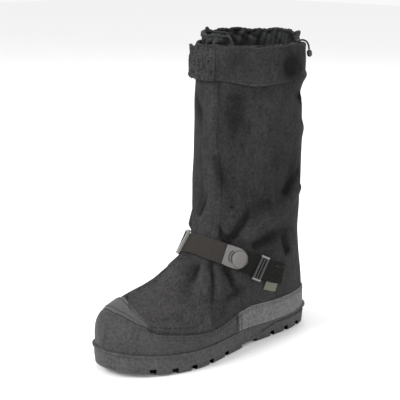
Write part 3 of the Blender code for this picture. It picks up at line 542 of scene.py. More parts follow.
class Paint:
    """A new material, with short ways to build its shader tree."""

    def __init__(self, name, colour, roughness):
        self.material = bpy.data.materials.new(name)
        self.material.use_nodes = True
        self.tree = self.material.node_tree
        self.colour = colour
        self.shader = self.tree.nodes["Principled BSDF"]
        self.fill(self.shader, {"Base Color": (*colour, 1), "Roughness": roughness})

    def fill(self, node, values):
        """Link the values that are sockets to a node's inputs, and write the others into them."""
        for key, value in values.items():
            if isinstance(value, bpy.types.NodeSocket):
                self.tree.links.new(value, node.inputs[key])
            else:
                node.inputs[key].default_value = value
        return node

    def node(self, kind, **values):
        return self.fill(self.tree.nodes.new(kind), {key.title(): value for key, value in values.items()})

    def maths(self, operation, *values):
        made = self.tree.nodes.new("ShaderNodeMath")
        made.operation = operation
        return self.fill(made, dict(enumerate(values))).outputs[0]

    def scaled(self, source, scale, turn=0.0):
        mapping = self.node("ShaderNodeMapping", vector=source, scale=scale, rotation=(turn, 0, 0))
        return mapping.outputs["Vector"]

    def noise(self, source, size, detail, stretch=(1, 1, 1)):
        """A noise whose blotches are about `size` metres; source is the coordinate socket."""
        place = self.scaled(source, tuple(s / size for s in stretch))
        return self.node("ShaderNodeTexNoise", vector=place, scale=1.0, detail=detail).outputs["Fac"]

    def wave(self, source, pitch, direction, turn=0.0):
        """Even ribs, `pitch` metres apart, along one axis of the coordinate, after a turn about X."""
        place = self.scaled(source, (1 / pitch,) * 3, turn)
        made = self.node("ShaderNodeTexWave", vector=place, scale=WAVE_SCALE, distortion=0.35, detail=1.0)
        made.bands_direction = direction
        return made.outputs["Fac"]

    def total(self, parts):
        """Sum of sockets, each times its own amount."""
        made = None
        for socket, amount in parts:
            part = self.maths("MULTIPLY", socket, amount)
            made = part if made is None else self.maths("ADD", made, part)
        return made

    def bump(self, parts, strength):
        """Relief from sockets, each with its own depth in metres."""
        made = self.node("ShaderNodeBump", strength=strength, distance=1.0, height=self.total(parts))
        self.fill(self.shader, {"Normal": made.outputs["Normal"]})

    def tint(self, fields):
        """Base colour times one plus the sum of (socket - 0.5) times an amount, then times one plus the shade."""
        tone = self.maths("ADD", self.total(fields), 1 - 0.5 * sum(amount for _, amount in fields))
        shade = self.node("ShaderNodeAttribute")
        shade.attribute_name = "shade"
        tone = self.maths("MULTIPLY_ADD", tone, shade.outputs["Fac"], tone)
        made = self.tree.nodes.new("ShaderNodeVectorMath")
        made.operation = "SCALE"
        self.fill(made, {0: self.colour, "Scale": tone})
        self.fill(self.shader, {"Base Color": made.outputs["Vector"]})

    def coordinates(self):
        """The piece's own coordinates and its unwrapped ones."""
        where = self.node("ShaderNodeTexCoord").outputs
        return where["Object"], where["UV"]


def cloth(name, colour, roughness, weave, depth, grain=0.12 * MM, blotch=0.8, sheen=0.02):
    """Woven cloth: crossed threads, nap, and slow changes of tone."""
    paint = Paint(name, colour, roughness)
    body, flat = paint.coordinates()
    warp, weft = paint.wave(flat, weave, "X"), paint.wave(flat, weave * 0.9, "Y")
    nap, slow = paint.noise(body, 3.0 * MM, 6), paint.noise(body, 42 * MM, 3)
    streak = paint.noise(body, 8 * MM, 4, (1, 1, 0.4))
    paint.bump(((warp, depth), (weft, depth), (nap, 2.5 * grain), (streak, 1.1 * MM)), 0.85)
    paint.tint(((slow, blotch), (nap, 1.6), (streak, 0.8), (weft, 0.15)))
    paint.fill(paint.shader, {"Sheen Weight": sheen, "Sheen Roughness": 0.5, "Specular IOR Level": 0.05})
    return paint.material


def rubber(name, colour, roughness, grain_size, grain_depth, scuff=0.5, ribs=None):
    """Moulded or coated rubber: pebbled grain, optional slanting ribs, pale rubbed places."""
    paint = Paint(name, colour, roughness)
    body, _ = paint.coordinates()
    place = paint.scaled(body, (1 / grain_size,) * 3)
    cells = paint.node("ShaderNodeTexVoronoi", vector=place, scale=1.0)
    pebbles = paint.maths("SUBTRACT", 1.0, cells.outputs["Distance"])
    dust, slow = paint.noise(body, 3.4 * MM, 6), paint.noise(body, 22 * MM, 4)
    parts = [(pebbles, 1.4 * grain_depth), (dust, 0.25 * MM), (slow, 0.9 * MM)]
    fields = [(slow, 0.8 * scuff), (dust, 3.0 * scuff), (pebbles, 0.6)]
    if ribs:
        rib = paint.wave(body, ribs, "Y", math.radians(38))
        parts.append((rib, 0.35 * MM))
        fields.append((rib, 0.35))
    paint.bump(parts, 0.9)
    paint.tint(fields)
    paint.fill(paint.shader, {"Specular IOR Level": 0.22})
    return paint.material


def webbing(name, colour, pitch, depth):
    """Woven tape: ribs across its length, a fainter lengthwise grain."""
    paint = Paint(name, colour, 0.8)
    body, flat = paint.coordinates()
    ribs, grain = paint.wave(flat, pitch, "X"), paint.wave(flat, pitch * 1.2, "Y")
    fuzz = paint.noise(body, 0.9 * MM, 3)
    paint.bump(((ribs, depth), (grain, 0.7 * depth), (fuzz, 0.2 * MM)), 0.9)
    paint.tint(((ribs, 0.5), (grain, 0.3), (fuzz, 0.7)))
    paint.fill(paint.shader, {"Specular IOR Level": 0.06})
    return paint.material


def plain(name, colour, roughness, grain=0.05 * MM):
    """Plastic, thread or smooth rubber."""
    paint = Paint(name, colour, roughness)
    body, _ = paint.coordinates()
    fine, slow = paint.noise(body, 1.3 * MM, 4), paint.noise(body, 9 * MM, 3)
    paint.bump(((fine, grain), (slow, 4 * grain)), 0.8)
    paint.tint(((fine, 0.25), (slow, 0.2)))
    return paint.material


shaft_cloth = cloth("shaft_cloth", (0.02, 0.019, 0.0193), 0.82, 0.9 * MM, 0.07 * MM)
flap_cloth = cloth("flap_cloth", (0.0265, 0.0253, 0.0255), 0.82, 0.9 * MM, 0.07 * MM)
cuff_cloth = cloth("cuff_cloth", (0.0217, 0.0217, 0.0219), 0.8, 0.9 * MM, 0.07 * MM)
loop_cloth = cloth("loop_cloth", (0.018, 0.018, 0.018), 0.95, 1.3 * MM, 0.2 * MM, 0.5 * MM, 0.6, 0.05)
collar_cloth = cloth("collar_cloth", (0.0226, 0.0232, 0.0238), 0.5, 0.6 * MM, 0.03 * MM, 0.05 * MM, 0.2, 0.05)
lining_cloth = cloth("lining_cloth", (0.012, 0.012, 0.012), 0.85, 1.2 * MM, 0.06 * MM)
toe_rubber = rubber("toe_rubber", (0.0342, 0.0342, 0.0347), 0.62, 1.5 * MM, 0.28 * MM)
# Painted light: the heel rand is the toe rand's rubber made much paler, to make up for the weaker light on it
heel_rubber_painted_light = rubber("heel_rubber_painted_light", (0.1024, 0.1024, 0.1043), 0.62, 1.3 * MM, 0.15 * MM, 0.5, 2.4 * MM)
patch_rubber = rubber("patch_rubber", (0.0549, 0.0549, 0.0557), 0.5, 0.8 * MM, 0.05 * MM, 0.35)
sole_rubber = rubber("sole_rubber", (0.0483, 0.0483, 0.0489), 0.68, 0.9 * MM, 0.06 * MM, 0.6)
tread_rubber = rubber("tread_rubber", (0.036, 0.036, 0.036), 0.75, 1.0 * MM, 0.06 * MM, 0.5)
grey_webbing = webbing("grey_webbing", (0.0276, 0.0251, 0.0229), 1.5 * MM, 0.25 * MM)
black_webbing = webbing("black_webbing", (0.0105, 0.011, 0.0095), 2.0 * MM, 0.5 * MM)
tab_rubber = plain("tab_rubber", (0.0942, 0.0886, 0.0859), 0.55)
black_plastic = plain("black_plastic", (0.012, 0.012, 0.012), 0.35)
# Painted highlight: pale grey stands in for the gloss on the rounded ends and edges of the black plastic hardware
plastic_painted_highlight = plain("plastic_painted_highlight", (0.144, 0.144, 0.141), 0.35)
label_cloth = plain("label_cloth", (0.09, 0.0936, 0.0684), 0.8, 0.15 * MM)
cord_cloth = webbing("cord_cloth", (0.024, 0.024, 0.0246), 0.9 * MM, 0.2 * MM)
thread = plain("thread", (0.0216, 0.0216, 0.0216), 0.75)
pale_thread = plain("pale_thread", (0.045, 0.045, 0.045), 0.7)
# Painted shade: near black for the shadow inside the pull tab's slits
slit_painted_shade = plain("slit_painted_shade", (0.006, 0.006, 0.006), 0.8)


# Upper: one fabric tube and its lining

FRONT = [(row[0] * LENGTH, row[1]) for row in FOOT if row[0] < 0.03]
PROFILE = np.array([(-LENGTH / 2, SOLE_HEIGHT), *FRONT, (FRONT[-1][0] + 2 * MM, SHAFT_TOP)])
PROFILE_RUN = np.concatenate(((0,), np.cumsum(np.hypot(*np.diff(PROFILE, axis=0).T))))


def level(share):
    """Height over the sole of a share of the way up the front of the shoe."""
    return np.interp(share * PROFILE_RUN[-1], PROFILE_RUN, PROFILE[:, 1]) - SOLE_HEIGHT


def upper_place(u, v):
    return on_skin((2 * u - 1) * np.pi, level(v))[0]


upper = grid("upper_fabric", 384, 236, upper_place, shaft_cloth, wrap=True, texture=(0.42, 0.42),
             shade=crease_shade)
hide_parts("upper")


def lining_place(u, v):
    height = 3.5 * MM + v * (SHAFT_TOP - SOLE_HEIGHT - 6 * MM)
    return on_skin((1 - 2 * u) * np.pi, height, -WALL)[0]


lining = grid("lining", 150, 90, lining_place, lining_cloth, wrap=True, texture=(0.42, 0.33))


# Rand and toe patch

def behind(edge, x, y):
    """How far a point is behind an edge of the toe patch."""
    return y - np.interp((x - CENTRE_X) / BALL_WIDTH, *zip(*edge)) * LENGTH


def rand_boundary(x, y, z):
    """Above zero where a point is over the rand's top edge or behind the toe patch's front edge."""
    top = z - np.interp(y / LENGTH, *zip(*RAND_TOP))
    return np.maximum(top, np.where(z > PATCH_BASE, behind(PATCH_FRONT, x, y) + 0.6 * MM, -1))


def first_height(turn, outside):
    """Lowest height at each turn at which the boundary function turns positive."""
    steps = np.linspace(0.0, 75 * MM, 90)
    table = skin_points(turn[:, None], steps[None, :])
    over = outside(*np.moveaxis(table, -1, 0)) > 0
    at = np.where(over.any(axis=1), over.argmax(axis=1), len(steps) - 1)
    high_at, low_at = steps[at], steps[np.maximum(at - 1, 0)]
    for _ in range(14):
        mid = (low_at + high_at) / 2
        out = outside(*np.moveaxis(skin_points(turn, mid), -1, 0)) > 0
        high_at, low_at = np.where(out, mid, high_at), np.where(out, low_at, mid)
    return (low_at + high_at) / 2


TURNS = np.linspace(-np.pi, np.pi, 721)
RAND_EDGE = first_height(TURNS, rand_boundary)
RAND_EDGE = np.convolve(np.pad(RAND_EDGE, 2, mode="wrap"), np.array((1, 2, 3, 2, 1)) / 9, mode="valid")


def rand_edge(turn):
    return np.interp((turn + np.pi) % (2 * np.pi) - np.pi, TURNS, RAND_EDGE)


@functools.lru_cache(maxsize=None)
def joint_turns(side, y):
    """Shares of the way up the rand, and the turns at which it is at y there."""
    share = np.linspace(0, 1, 24)
    near, far = np.full_like(share, math.radians(60)), np.full_like(share, math.radians(125))
    for _ in range(18):
        mid = (near + far) / 2
        at = skin_points(side * mid, share * rand_edge(side * mid))[..., 1]
        far, near = np.where(at > y, mid, far), np.where(at > y, near, mid)
    return share, (near + far) / 2


def joint_turn(share, side, y):
    """Turn at which the rand, a share of the way up, is at y."""
    return np.interp(share, *joint_turns(side, y))


def rand_rows(share, start, end, across):
    turn = start + (end - start) * across
    bevel = 0.35 * MM * smooth((share - 0.95) / 0.05)
    return on_skin(turn, share * rand_edge(turn), GAP - bevel, folds=False)[0]


def forefoot_place(u, v):
    lateral = joint_turn(v, 1, RAND_JOINT_Y - GAP)
    medial = joint_turn(v, -1, RAND_JOINT_Y - GAP)
    return rand_rows(v, -medial, lateral, u)


def heel_place(u, v):
    lateral = joint_turn(v, 1, RAND_JOINT_Y + GAP)
    medial = 2 * np.pi - joint_turn(v, -1, RAND_JOINT_Y + GAP)
    return rand_rows(v, lateral, medial, u)


forefoot = grid("rand_toe_cap", 400, 26, forefoot_place, toe_rubber, texture=(0.42, 0.04))
thicken(forefoot, OVERLAY, 1, 0.3 * MM)
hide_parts("rand_forefoot")
# the heel rand's paler rubber is painted light
heel = grid("rand_heel_cap", 340, 22, heel_place, heel_rubber_painted_light, texture=(0.33, 0.03))
thicken(heel, OVERLAY, 1, 0.35 * MM)
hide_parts("rand_heel")


def patch_back(x, y, z):
    return behind(PATCH_BACK, x, y)


def patch_front(x, y, z):
    return np.minimum(behind(PATCH_FRONT, x, y), z - PATCH_BASE)


PATCH_TURNS = np.radians(np.linspace(-62, 34, 200))
PATCH_LOW = first_height(PATCH_TURNS, patch_front)
PATCH_HIGH = np.maximum(first_height(PATCH_TURNS, patch_back), PATCH_LOW + 0.3 * MM)


def patch_place(u, v):
    turn = np.interp(u, np.linspace(0, 1, len(PATCH_TURNS)), PATCH_TURNS)
    low, high = np.interp(turn, PATCH_TURNS, PATCH_LOW), np.interp(turn, PATCH_TURNS, PATCH_HIGH)
    return on_skin(turn, low + v * (high - low), GAP, folds=False)[0]


patch = grid("toe_patch_crescent", 180, 30, patch_place, patch_rubber, texture=(0.1, 0.03))
thicken(patch, OVERLAY, 1, 0.35 * MM)
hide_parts("toe_patch")


# Front flap: a free fold on its medial edge, sewn on its lateral edge

FLAP_GRID = np.stack(turn_and_height(np.array(FLAP, float) * MM), axis=-1)


def flap_at(across, along):
    """Turn and height of a place on the flap: across from medial to lateral, along from the cuff to the toe."""
    at = along * (len(FLAP) - 1)
    ends = [array_spline(FLAP_GRID[:, k], at) for k in range(3)]
    u = across[..., None]
    return (1 - u) * (1 - 2 * u) * ends[0] + 4 * u * (1 - u) * ends[1] + u * (2 * u - 1) * ends[2]


def flap_lift(across):
    """The free edge is folded back on itself and stands off the shaft."""
    fold = np.sqrt(np.clip(across / 0.05, 0, 1)) * (1 - smooth((across - 0.06) / 0.22))
    return GAP + 1.5 * MM * fold - 1.1 * MM * smooth((across - 0.93) / 0.07)


def flap_place(u, v):
    across = u + 0.12 * np.sin(2 * np.pi * u) / (2 * np.pi)
    spot = flap_at(across, 1 - v)
    return on_skin(spot[..., 0], spot[..., 1], flap_lift(across))[0]


flap = grid("front_flap_panel", 92, 330, flap_place, flap_cloth, texture=(0.03, 0.38), shade=crease_shade)
thicken(flap, OVERLAY, 1, 0.4 * MM)
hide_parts("front_flap")


# Cuff, snow collar and closure tab

def shell(turn, offset, z):
    """Points off the plain skin, level with the floor, for the pieces round the top of the shaft."""
    height = z - SOLE_HEIGHT - GAP
    points = skin_points(turn, height)
    ahead = skin_points(turn + 0.01, height) - skin_points(turn - 0.01, height)
    normal = np.cross(ahead, (0, 0, 1))
    normal /= np.linalg.norm(normal, axis=-1, keepdims=True)
    return points + (offset + 0 * turn)[..., None] * normal, normal


def bulge(turn, z, at, half, z_at, z_half):
    """A soft bump round a turn in degrees and a height in mm."""
    gap = (np.degrees(turn) - at + 180) % 360 - 180
    return np.exp(-(gap / half) ** 2 - ((z - z_at * MM) / (z_half * MM)) ** 2)


def cuff_relief(turn, z):
    soft = 0.5 * np.sin(5 * turn + 60 * z) + 0.6 * np.sin(13 * turn + 190 * z + 2) * np.sin(3 * turn + 1)
    soft = soft + 0.4 * np.sin(9 * turn - 130 * z + 1) + 0.3 * np.sin(16 * turn + 90 * z)
    hollow = -3.0 * bulge(turn, z, 92, 13, 336, 13) - 2.0 * bulge(turn, z, 112, 9, 328, 9)
    hollow += 1.6 * bulge(turn, z, 72, 8, 338, 16) + 1.2 * bulge(turn, z, 58, 7, 322, 8)
    hollow -= 1.0 * bulge(turn, z, 40, 6, 340, 12) + 1.0 * bulge(turn, z, 24, 5, 330, 14)
    hollow += 2.0 * bulge(turn, z, 62, 30, 313, 6)
    hollow -= 1.2 * bulge(turn, z, -70, 12, 336, 12) + 1.2 * bulge(turn, z, 170, 16, 334, 12)
    return (0.7 * soft + hollow) * MM


def cuff_place(u, v):
    turn, t = (2 * u - 1) * np.pi, v * 7
    edge = open_spline(CUFF_EDGE, 1, np.degrees(turn)) - CUFF_LOW
    z = open_spline(CUFF_FOLD, 2, t) + edge * np.clip(1 - t, 0, 1)
    rim = smooth((t - 2.5) / 2)
    z = z + rim * MM * (0.9 * np.sin(4 * turn + 1) + 0.6 * np.sin(11 * turn + 0.5))
    outer = smooth((5.2 - t) / 1.5)
    offset = open_spline(CUFF_FOLD, 1, t) + 0.5 * MM * outer + cuff_relief(turn, z) * outer
    offset = np.where(t < 5, np.maximum(offset, 1.1 * MM * smooth((4.6 - t) / 1.5)), offset)
    return shell(turn, offset, z)[0]


# Painted shade and light on the cuff: darker in its hollows and on the inner face of the fold, lighter on its
# bumps
def cuff_shade(u, v, points):
    turn, z = (2 * u - 1) * np.pi, points[:, 2]
    outer = smooth((4.2 - 7 * v) / 1.0)
    dark = 0.75 * bulge(turn, z, 95, 15, 334, 15) + 0.4 * bulge(turn, z, 112, 9, 326, 10)
    dark += 0.35 * bulge(turn, z, -70, 12, 336, 14) + 0.3 * bulge(turn, z, 30, 6, 340, 12)
    inside = 0.45 * smooth((7 * v - 5) / 1.0)
    return np.clip(0.13 * cuff_relief(turn, z) / MM - dark, -0.75, 0.25) * outer - inside


cuff = grid("cuff_fold", 360, 60, cuff_place, cuff_cloth, wrap=True, texture=(0.42, 0.07), shade=cuff_shade)
thicken(cuff, 1.4 * MM, 0, 0.4 * MM)
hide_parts("cuff")


def gathers(turn):
    """Uneven pleats round the collar, -1 in a hollow to 1 on a crest."""
    phase = 15 * turn + 1.9 * np.sin(3 * turn + 0.4) + 1.1 * np.sin(7 * turn + 2) + 0.5 * np.sin(13 * turn)
    return np.sin(phase) * (0.75 + 0.25 * np.sin(5 * turn + 1))


def collar_wander(turn, t):
    """How far the pleats stand off the collar's plain form, and the pleat's own share."""
    pleat = gathers(turn + 0.025 * np.sin(2.2 * t + 2 * turn))
    finer = np.sin(47 * turn + 3 * np.sin(4 * turn) + 1.5 * t)
    depth = smooth(t / 1.2) * (1 - 0.55 * smooth((t - 3.2) / 0.8))
    return depth * (3.4 * (pleat - 0.75) + 0.7 * finer) * MM, pleat


def collar_top(turn):
    """Lift of the collar's top edge: it sinks behind the cuff's rim over the lateral side."""
    degrees = np.degrees(turn)
    sunk = smooth((degrees - 20) / 12) * smooth((140 - degrees) / 22)
    cord = np.exp(-((degrees - 112) / 14) ** 2)
    return MM * (1.0 * np.sin(6 * turn + 1) + 0.8 * np.sin(15 * turn + 2) - 0.4 - 14.5 * sunk + 3.0 * cord)


def collar_place(u, v):
    turn, t = (2 * u - 1) * np.pi, v * 4
    wander, _ = collar_wander(turn, t)
    z = open_spline(COLLAR, 2, t) + smooth((t - 1.2) / 2.5) * collar_top(turn)
    return shell(turn, open_spline(COLLAR, 1, t) + wander, z)[0]


# Painted shade in the pleats' hollows and a painted highlight on their crests
def collar_shade(u, v, points):
    pleat = gathers((2 * u - 1) * np.pi + 0.1 * np.sin(7 * v))
    return np.clip(0.7 * pleat - 0.1, -0.75, 0.5) * smooth((4 * v - 0.3) / 1.5)


collar = grid("collar_gathers", 640, 44, collar_place, collar_cloth, wrap=True, texture=(0.5, 0.03),
              shade=collar_shade)
thicken(collar, 0.6 * MM, 0)
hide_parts("snow_collar")


def channel_place(u, v):
    """Hem at the top of the collar that the drawcord runs in."""
    turn, angle = (2 * u - 1) * np.pi, 2 * np.pi * v
    wander, pleat = collar_wander(turn, 4 + 0 * turn)
    radius = (2.0 + 0.5 * pleat + 0.25 * np.sin(61 * turn + 2 * np.sin(angle))) * MM
    z = 369.0 * MM + collar_top(turn) + radius * np.sin(angle)
    return shell(turn, -4.6 * MM + wander + 0.8 * radius * np.cos(angle), np.minimum(z, 371.3 * MM))[0]


channel = grid("collar_channel", 640, 14, channel_place, collar_cloth, wrap=True, texture=(0.5, 0.012))

TAB_START, TAB_END = 9, -50           # turns in degrees
CRUSH = 5.2 * MM                      # size of the tab's crinkles


def crumple(points, size, amount):
    """Crossing ridges like those of crushed cloth."""
    made = []
    for point in points:
        spot = Vector(point) / size
        coarse, fine = (1 - 2.2 * abs(noise.noise(at)) for at in (spot, spot * 2.1 + Vector((7, 3, 1))))
        made.append(amount * (coarse + 0.5 * fine))
    return np.array(made)


def tab_place(u, v):
    degrees = TAB_END + u * (TAB_START - TAB_END)
    turn = np.radians(degrees)
    free = np.clip((TAB_END + 12 - degrees) / 12, 0, 1)
    round_end = 9 * MM * (1 - np.sqrt(np.clip(1 - np.clip(free * 1.6 - 0.6, 0, 1) ** 2, 0, 1)))
    low, high = 318 * MM + round_end, 356 * MM - round_end
    z = low + v * (high - low)
    offset = 4.2 * MM + 1.6 * GAP + 2.6 * MM * free ** 2
    points, normal = shell(turn, offset, z)
    edge = smooth(np.minimum(u, 1 - u) / 0.08)
    rough = crumple(points * (1, 1, 0.8), CRUSH, 1.9 * MM) * (0.3 + 0.7 * edge)
    return points + (np.maximum(rough, -1.3 * MM) - 1.2 * MM * smooth((u - 0.94) / 0.06))[..., None] * normal


# Painted shade and highlight that follow the tab's crinkles
def tab_shade(u, v, points):
    return np.clip(1.3 * crumple(points * (1, 1, 0.8), CRUSH, 1.0), -0.75, 0.7)


tab = grid("closure_tab_loop", 170, 100, tab_place, loop_cloth, texture=(0.07, 0.04), shade=tab_shade)
thicken(tab, 1.3 * MM)
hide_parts("closure_tab")


# Strap line round the ankle

STRAP_TURNS = np.linspace(-118, 118, 237)


def strap_frames():
    """Middle, cross and outward directions along the strap's line."""
    turn = np.radians(STRAP_TURNS)
    middle = strap_height(turn) - SOLE_HEIGHT - GAP
    spread, lean = np.full_like(turn, WEBBING_WIDTH / 2), np.zeros_like(turn)
    for _ in range(8):
        low, high = skin_points(turn - lean, middle - spread), skin_points(turn + lean, middle + spread)
        spread = spread * WEBBING_WIDTH / np.linalg.norm(high - low, axis=-1)
        along = np.gradient(skin_points(turn, middle), turn, axis=0)
        lean = lean - ((high - low) * along).sum(axis=-1) / (2 * (along ** 2).sum(axis=-1))
    up = (high - low) / np.linalg.norm(high - low, axis=-1, keepdims=True)
    out = np.cross(along, up)
    return (low + high) / 2, up, out / np.linalg.norm(out, axis=-1, keepdims=True)


STRAP_MIDDLE, STRAP_UP, STRAP_OUT = strap_frames()
STRAP_RUN = np.concatenate(((0,), np.cumsum(np.linalg.norm(np.diff(STRAP_MIDDLE, axis=0), axis=1))))


def strap_lift(degrees):
    return 2.4 * MM - 1.4 * MM * smooth((np.abs(degrees) - 24) / 12)


def on_strap(degrees, across, lift):
    """A point on the strap's line: turn in degrees, distance up across it, distance out from its inner face."""
    degrees, across, lift = np.broadcast_arrays(np.atleast_1d(degrees).astype(float), across, lift)
    middle, up, out = (
        np.column_stack([np.interp(degrees, STRAP_TURNS, table[:, k]) for k in range(3)])
        for table in (STRAP_MIDDLE, STRAP_UP, STRAP_OUT))
    return middle + across[:, None] * up + (strap_lift(degrees) + lift)[:, None] * out


def strap_span(start, end):
    return abs(float(np.diff(np.interp((start, end), STRAP_TURNS, STRAP_RUN))[0]))


def band(name, start, end, width, lift, thickness, finish, bevel=0.35 * MM, wave=0.0, shift=0.0):
    """A tape on the strap's line, between two turns in degrees."""
    def place(u, v):
        at, up = start + u * (end - start), (v - 0.5) * width + shift
        ripple = wave * np.sin(0.9 * at + 60 * up) * np.sin(0.37 * at + 1)
        return on_strap(at, up + wave * 0.5 * np.sin(0.5 * at) * (2 * v - 1), lift + ripple)
    made = grid(name, 110, 14, place, finish, texture=(strap_span(start, end), width))
    return thicken(made, thickness, 1, bevel)


strap = band("strap_tape", -14, 29, WEBBING_WIDTH, 0, WEBBING, grey_webbing, wave=0.15 * MM)
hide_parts("strap_webbing")
anchor = band("anchor_tape", 46, 111, WEBBING_WIDTH, 0, WEBBING, black_webbing, wave=0.2 * MM)
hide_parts("anchor_webbing")
tape = band("buckle_tape", -111, -53.35, WEBBING_WIDTH, 0, WEBBING, black_webbing, wave=0.2 * MM)
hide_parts("buckle_webbing")

ON_TAPE = WEBBING + GAP
TAB_LIFT = ON_TAPE + 0.5 * MM


def pull_half(share):
    """Half width of the pull tab, a share of the way along it."""
    along = np.clip((share - 0.42) / 0.58, 0, 1)
    return 12.6 * MM * np.sqrt(np.clip(1 - along ** 2.2, 0.0, 1)) * (0.94 + 0.06 * smooth(share / 0.2))


def pull_spot(u, v):
    """Share of the way along the pull tab, half width and place across there, and reach from the oval."""
    share = 1 - (1 - u) ** 1.7
    half = np.maximum(pull_half(share), 0.5 * MM)
    across = (2 * v - 1) * half
    return share, half, across, np.hypot((share - 0.63) / 0.33, across / (10.5 * MM))


def pull_place(u, v):
    share, half, across, ring = pull_spot(u, v)
    at = 28.5 + share * 26.5
    inner = np.clip(1 - ring ** 2, 0, 1)
    pad = 0.9 * MM * smooth(inner / 0.25) + 0.5 * MM * inner
    rim = 0.35 * MM * smooth((np.abs(across) - half + 2.2 * MM) / (1.2 * MM))
    return on_strap(at, across, TAB_LIFT + 0.5 * MM + pad + rim)


def pull_shade(u, v, points):
    """Painted shade in the groove round the raised oval, and a painted highlight just inside it."""
    ring = pull_spot(u, v)[3]
    return -0.45 * np.exp(-((ring - 1.0) / 0.07) ** 2) + 0.15 * np.exp(-((ring - 0.86) / 0.08) ** 2)


pull = grid("strap_pull_tab", 90, 60, pull_place, tab_rubber, texture=(0.03, 0.026), shade=pull_shade)
thicken(pull, 2.2 * MM, -1, 0.5 * MM)
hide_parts("strap_tab")

# Each slit is a near-black tube laid on the tab: painted shade where an opening would be
for k, at in enumerate((33.0, 35.4)):
    up = np.linspace(-6.6, 6.6, 24) * MM
    bow = at + 2.0 * (up / (6.6 * MM)) ** 2
    made = tube(f"tab_slit_{k}", on_strap(bow, up, TAB_LIFT + 0.62 * MM), 0.55 * MM, slit_painted_shade, sides=8)


def bar(name, start, end, low, high, lift, thickness, finish, corner=0.9 * MM):
    """A rounded block on the strap's line."""
    def place(u, v):
        return on_strap(start + u * (end - start), low + v * (high - low), lift)
    made = grid(name, 16, 16, place, finish, texture=(0.01, high - low), steps=False)
    return thicken(made, thickness, 1, corner)


# the slider's pale grey end bars are a painted highlight
slider_parts = [
    bar("slider_bar_front", 71, 74.0, -HARDWARE_HALF, HARDWARE_HALF, 1.9 * MM, 2.4 * MM, black_plastic),
    bar("slider_bar_back", 80, 83.2, -HARDWARE_HALF, HARDWARE_HALF, 1.9 * MM, 2.4 * MM, black_plastic),
    bar("slider_end_top", 71, 83.2, 13.2 * MM, 15.6 * MM, 1.9 * MM, 2.6 * MM, plastic_painted_highlight),
    bar("slider_end_bottom", 71, 83.2, -15.6 * MM, -13.2 * MM, 1.9 * MM, 2.6 * MM, plastic_painted_highlight),
    bar("slider_bar_middle", 76.2, 78.2, -13 * MM, 13 * MM, 2.2 * MM, 1.6 * MM, black_plastic, 0.6 * MM),
]
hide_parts("strap_slider")

label = band("label_plain", 94, 109, 10.4 * MM, -0.3 * MM, 0.8 * MM, label_cloth, 0.2 * MM, shift=-18 * MM)
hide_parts("label")

# the buckle frame's pale grey front and sides are a painted highlight
male = [
    bar("buckle_frame_front", -15.4, -13, -HARDWARE_HALF, HARDWARE_HALF, ON_TAPE, 3.2 * MM, plastic_painted_highlight),
    bar("buckle_frame_top", -27, -13, 12.8 * MM, HARDWARE_HALF, ON_TAPE, 3.2 * MM, plastic_painted_highlight),
    bar("buckle_frame_bottom", -27, -13, -HARDWARE_HALF, -12.8 * MM, ON_TAPE, 3.2 * MM, plastic_painted_highlight),
    bar("buckle_frame_back", -27.2, -22.5, -HARDWARE_HALF, HARDWARE_HALF, ON_TAPE, 3.2 * MM, black_plastic),
    bar("buckle_frame_bar", -19.6, -17.8, -13 * MM, 13 * MM, ON_TAPE, 2.2 * MM, black_plastic, 0.6 * MM),
]
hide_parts("buckle_male")


def buckle_place(u, v):
    at, up = -53 + u * 25.4, 2 * v - 1
    waist = 14.5 - 2.2 * np.exp(-((u - 0.55) / 0.16) ** 2) - 1.6 * smooth((0.14 - u) / 0.14)
    dome = 1.6 * (1 - up ** 2) ** 0.5 * smooth(u / 0.12) * smooth((1 - u) / 0.12)
    return on_strap(at, up * waist * MM, ON_TAPE + 2.4 * MM + dome * MM)


female = grid("buckle_body", 60, 40, buckle_place, black_plastic, texture=(0.03, 0.03))
thicken(female, 3.6 * MM, -1, 0.7 * MM)
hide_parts("buckle_female")
# the pale grey prongs are a painted highlight
for k, middle in enumerate((-13.9 * MM, 13.9 * MM)):
    made = bar(f"buckle_prong_{k}", -45, -28.4, middle - 1.3 * MM, middle + 1.3 * MM,
               ON_TAPE + 0.3 * MM, 2.0 * MM, plastic_painted_highlight, 0.7 * MM)


# Outsole

def fade(y, start, end):
    """Soft step from 0 to 1 between two shares of LENGTH."""
    return smooth((y / LENGTH - start) / (end - start))


def block_lift(y):
    """Height of the top of the tread blocks."""
    return 2 * MM + 14 * MM * fade(y, 0.05, 0.26) + spring(y)


def rim_flare(y):
    return 0.3 * MM + 0.9 * MM * fade(y, 0.30, 0.47)


def block_flare(y):
    return 1.4 * MM * fade(y, 0.07, 0.20)


# The sole's section from the middle of its top round the side to the middle of its base. Each row: inset from the
# outline in mm, shares of the rim's and the blocks' flare that come off it; shares of the height of the top, of
# the blocks and of the base, and mm on top of them.
SECTION = np.array((
    (62, 0, 0, 1, 0, 0, 0), (8, 0, 0, 1, 0, 0, 0), (1.2, 0, 0, 1, 0, 0, 0), (0.5, 1, 0, 1, 0, 0, -0.15),
    (0.1, 1, 0, 1, 0, 0, -0.5), (0, 1, 0, 1, 0, 0, -1.2), (0.1, 1, 0, 1, 0, 0, -2.3),
    (0.6, 0.5, 0, 1, 0, 0, -2.8), (1.5, 0, 0, 1, 0, 0, -3.3), (1.25, 0, 0, 1, 0, 0, -4.3),
    (1.3, 0, 0, 0.5, 0.5, 0, -1.55),
    (1.9, 0, 0, 0, 1, 0, 1.1), (2.1, 0, 0, 0, 1, 0, 0.6), (2.0, 0, 1, 0, 1, 0, -0.2), (2.0, 0, 1, 0, 1, 0, -0.9),
    (2.5, 0, 1, 0, 0.5, 0.5, 0), (3.0, 0, 1, 0, 0, 1, 1.1), (3.4, 0, 1, 0, 0, 1, 0.35), (4.2, 0, 1, 0, 0, 1, 0),
    (9, 0, 0, 0, 0, 1, 0), (62, 0, 0, 0, 0, 1, 0),
))


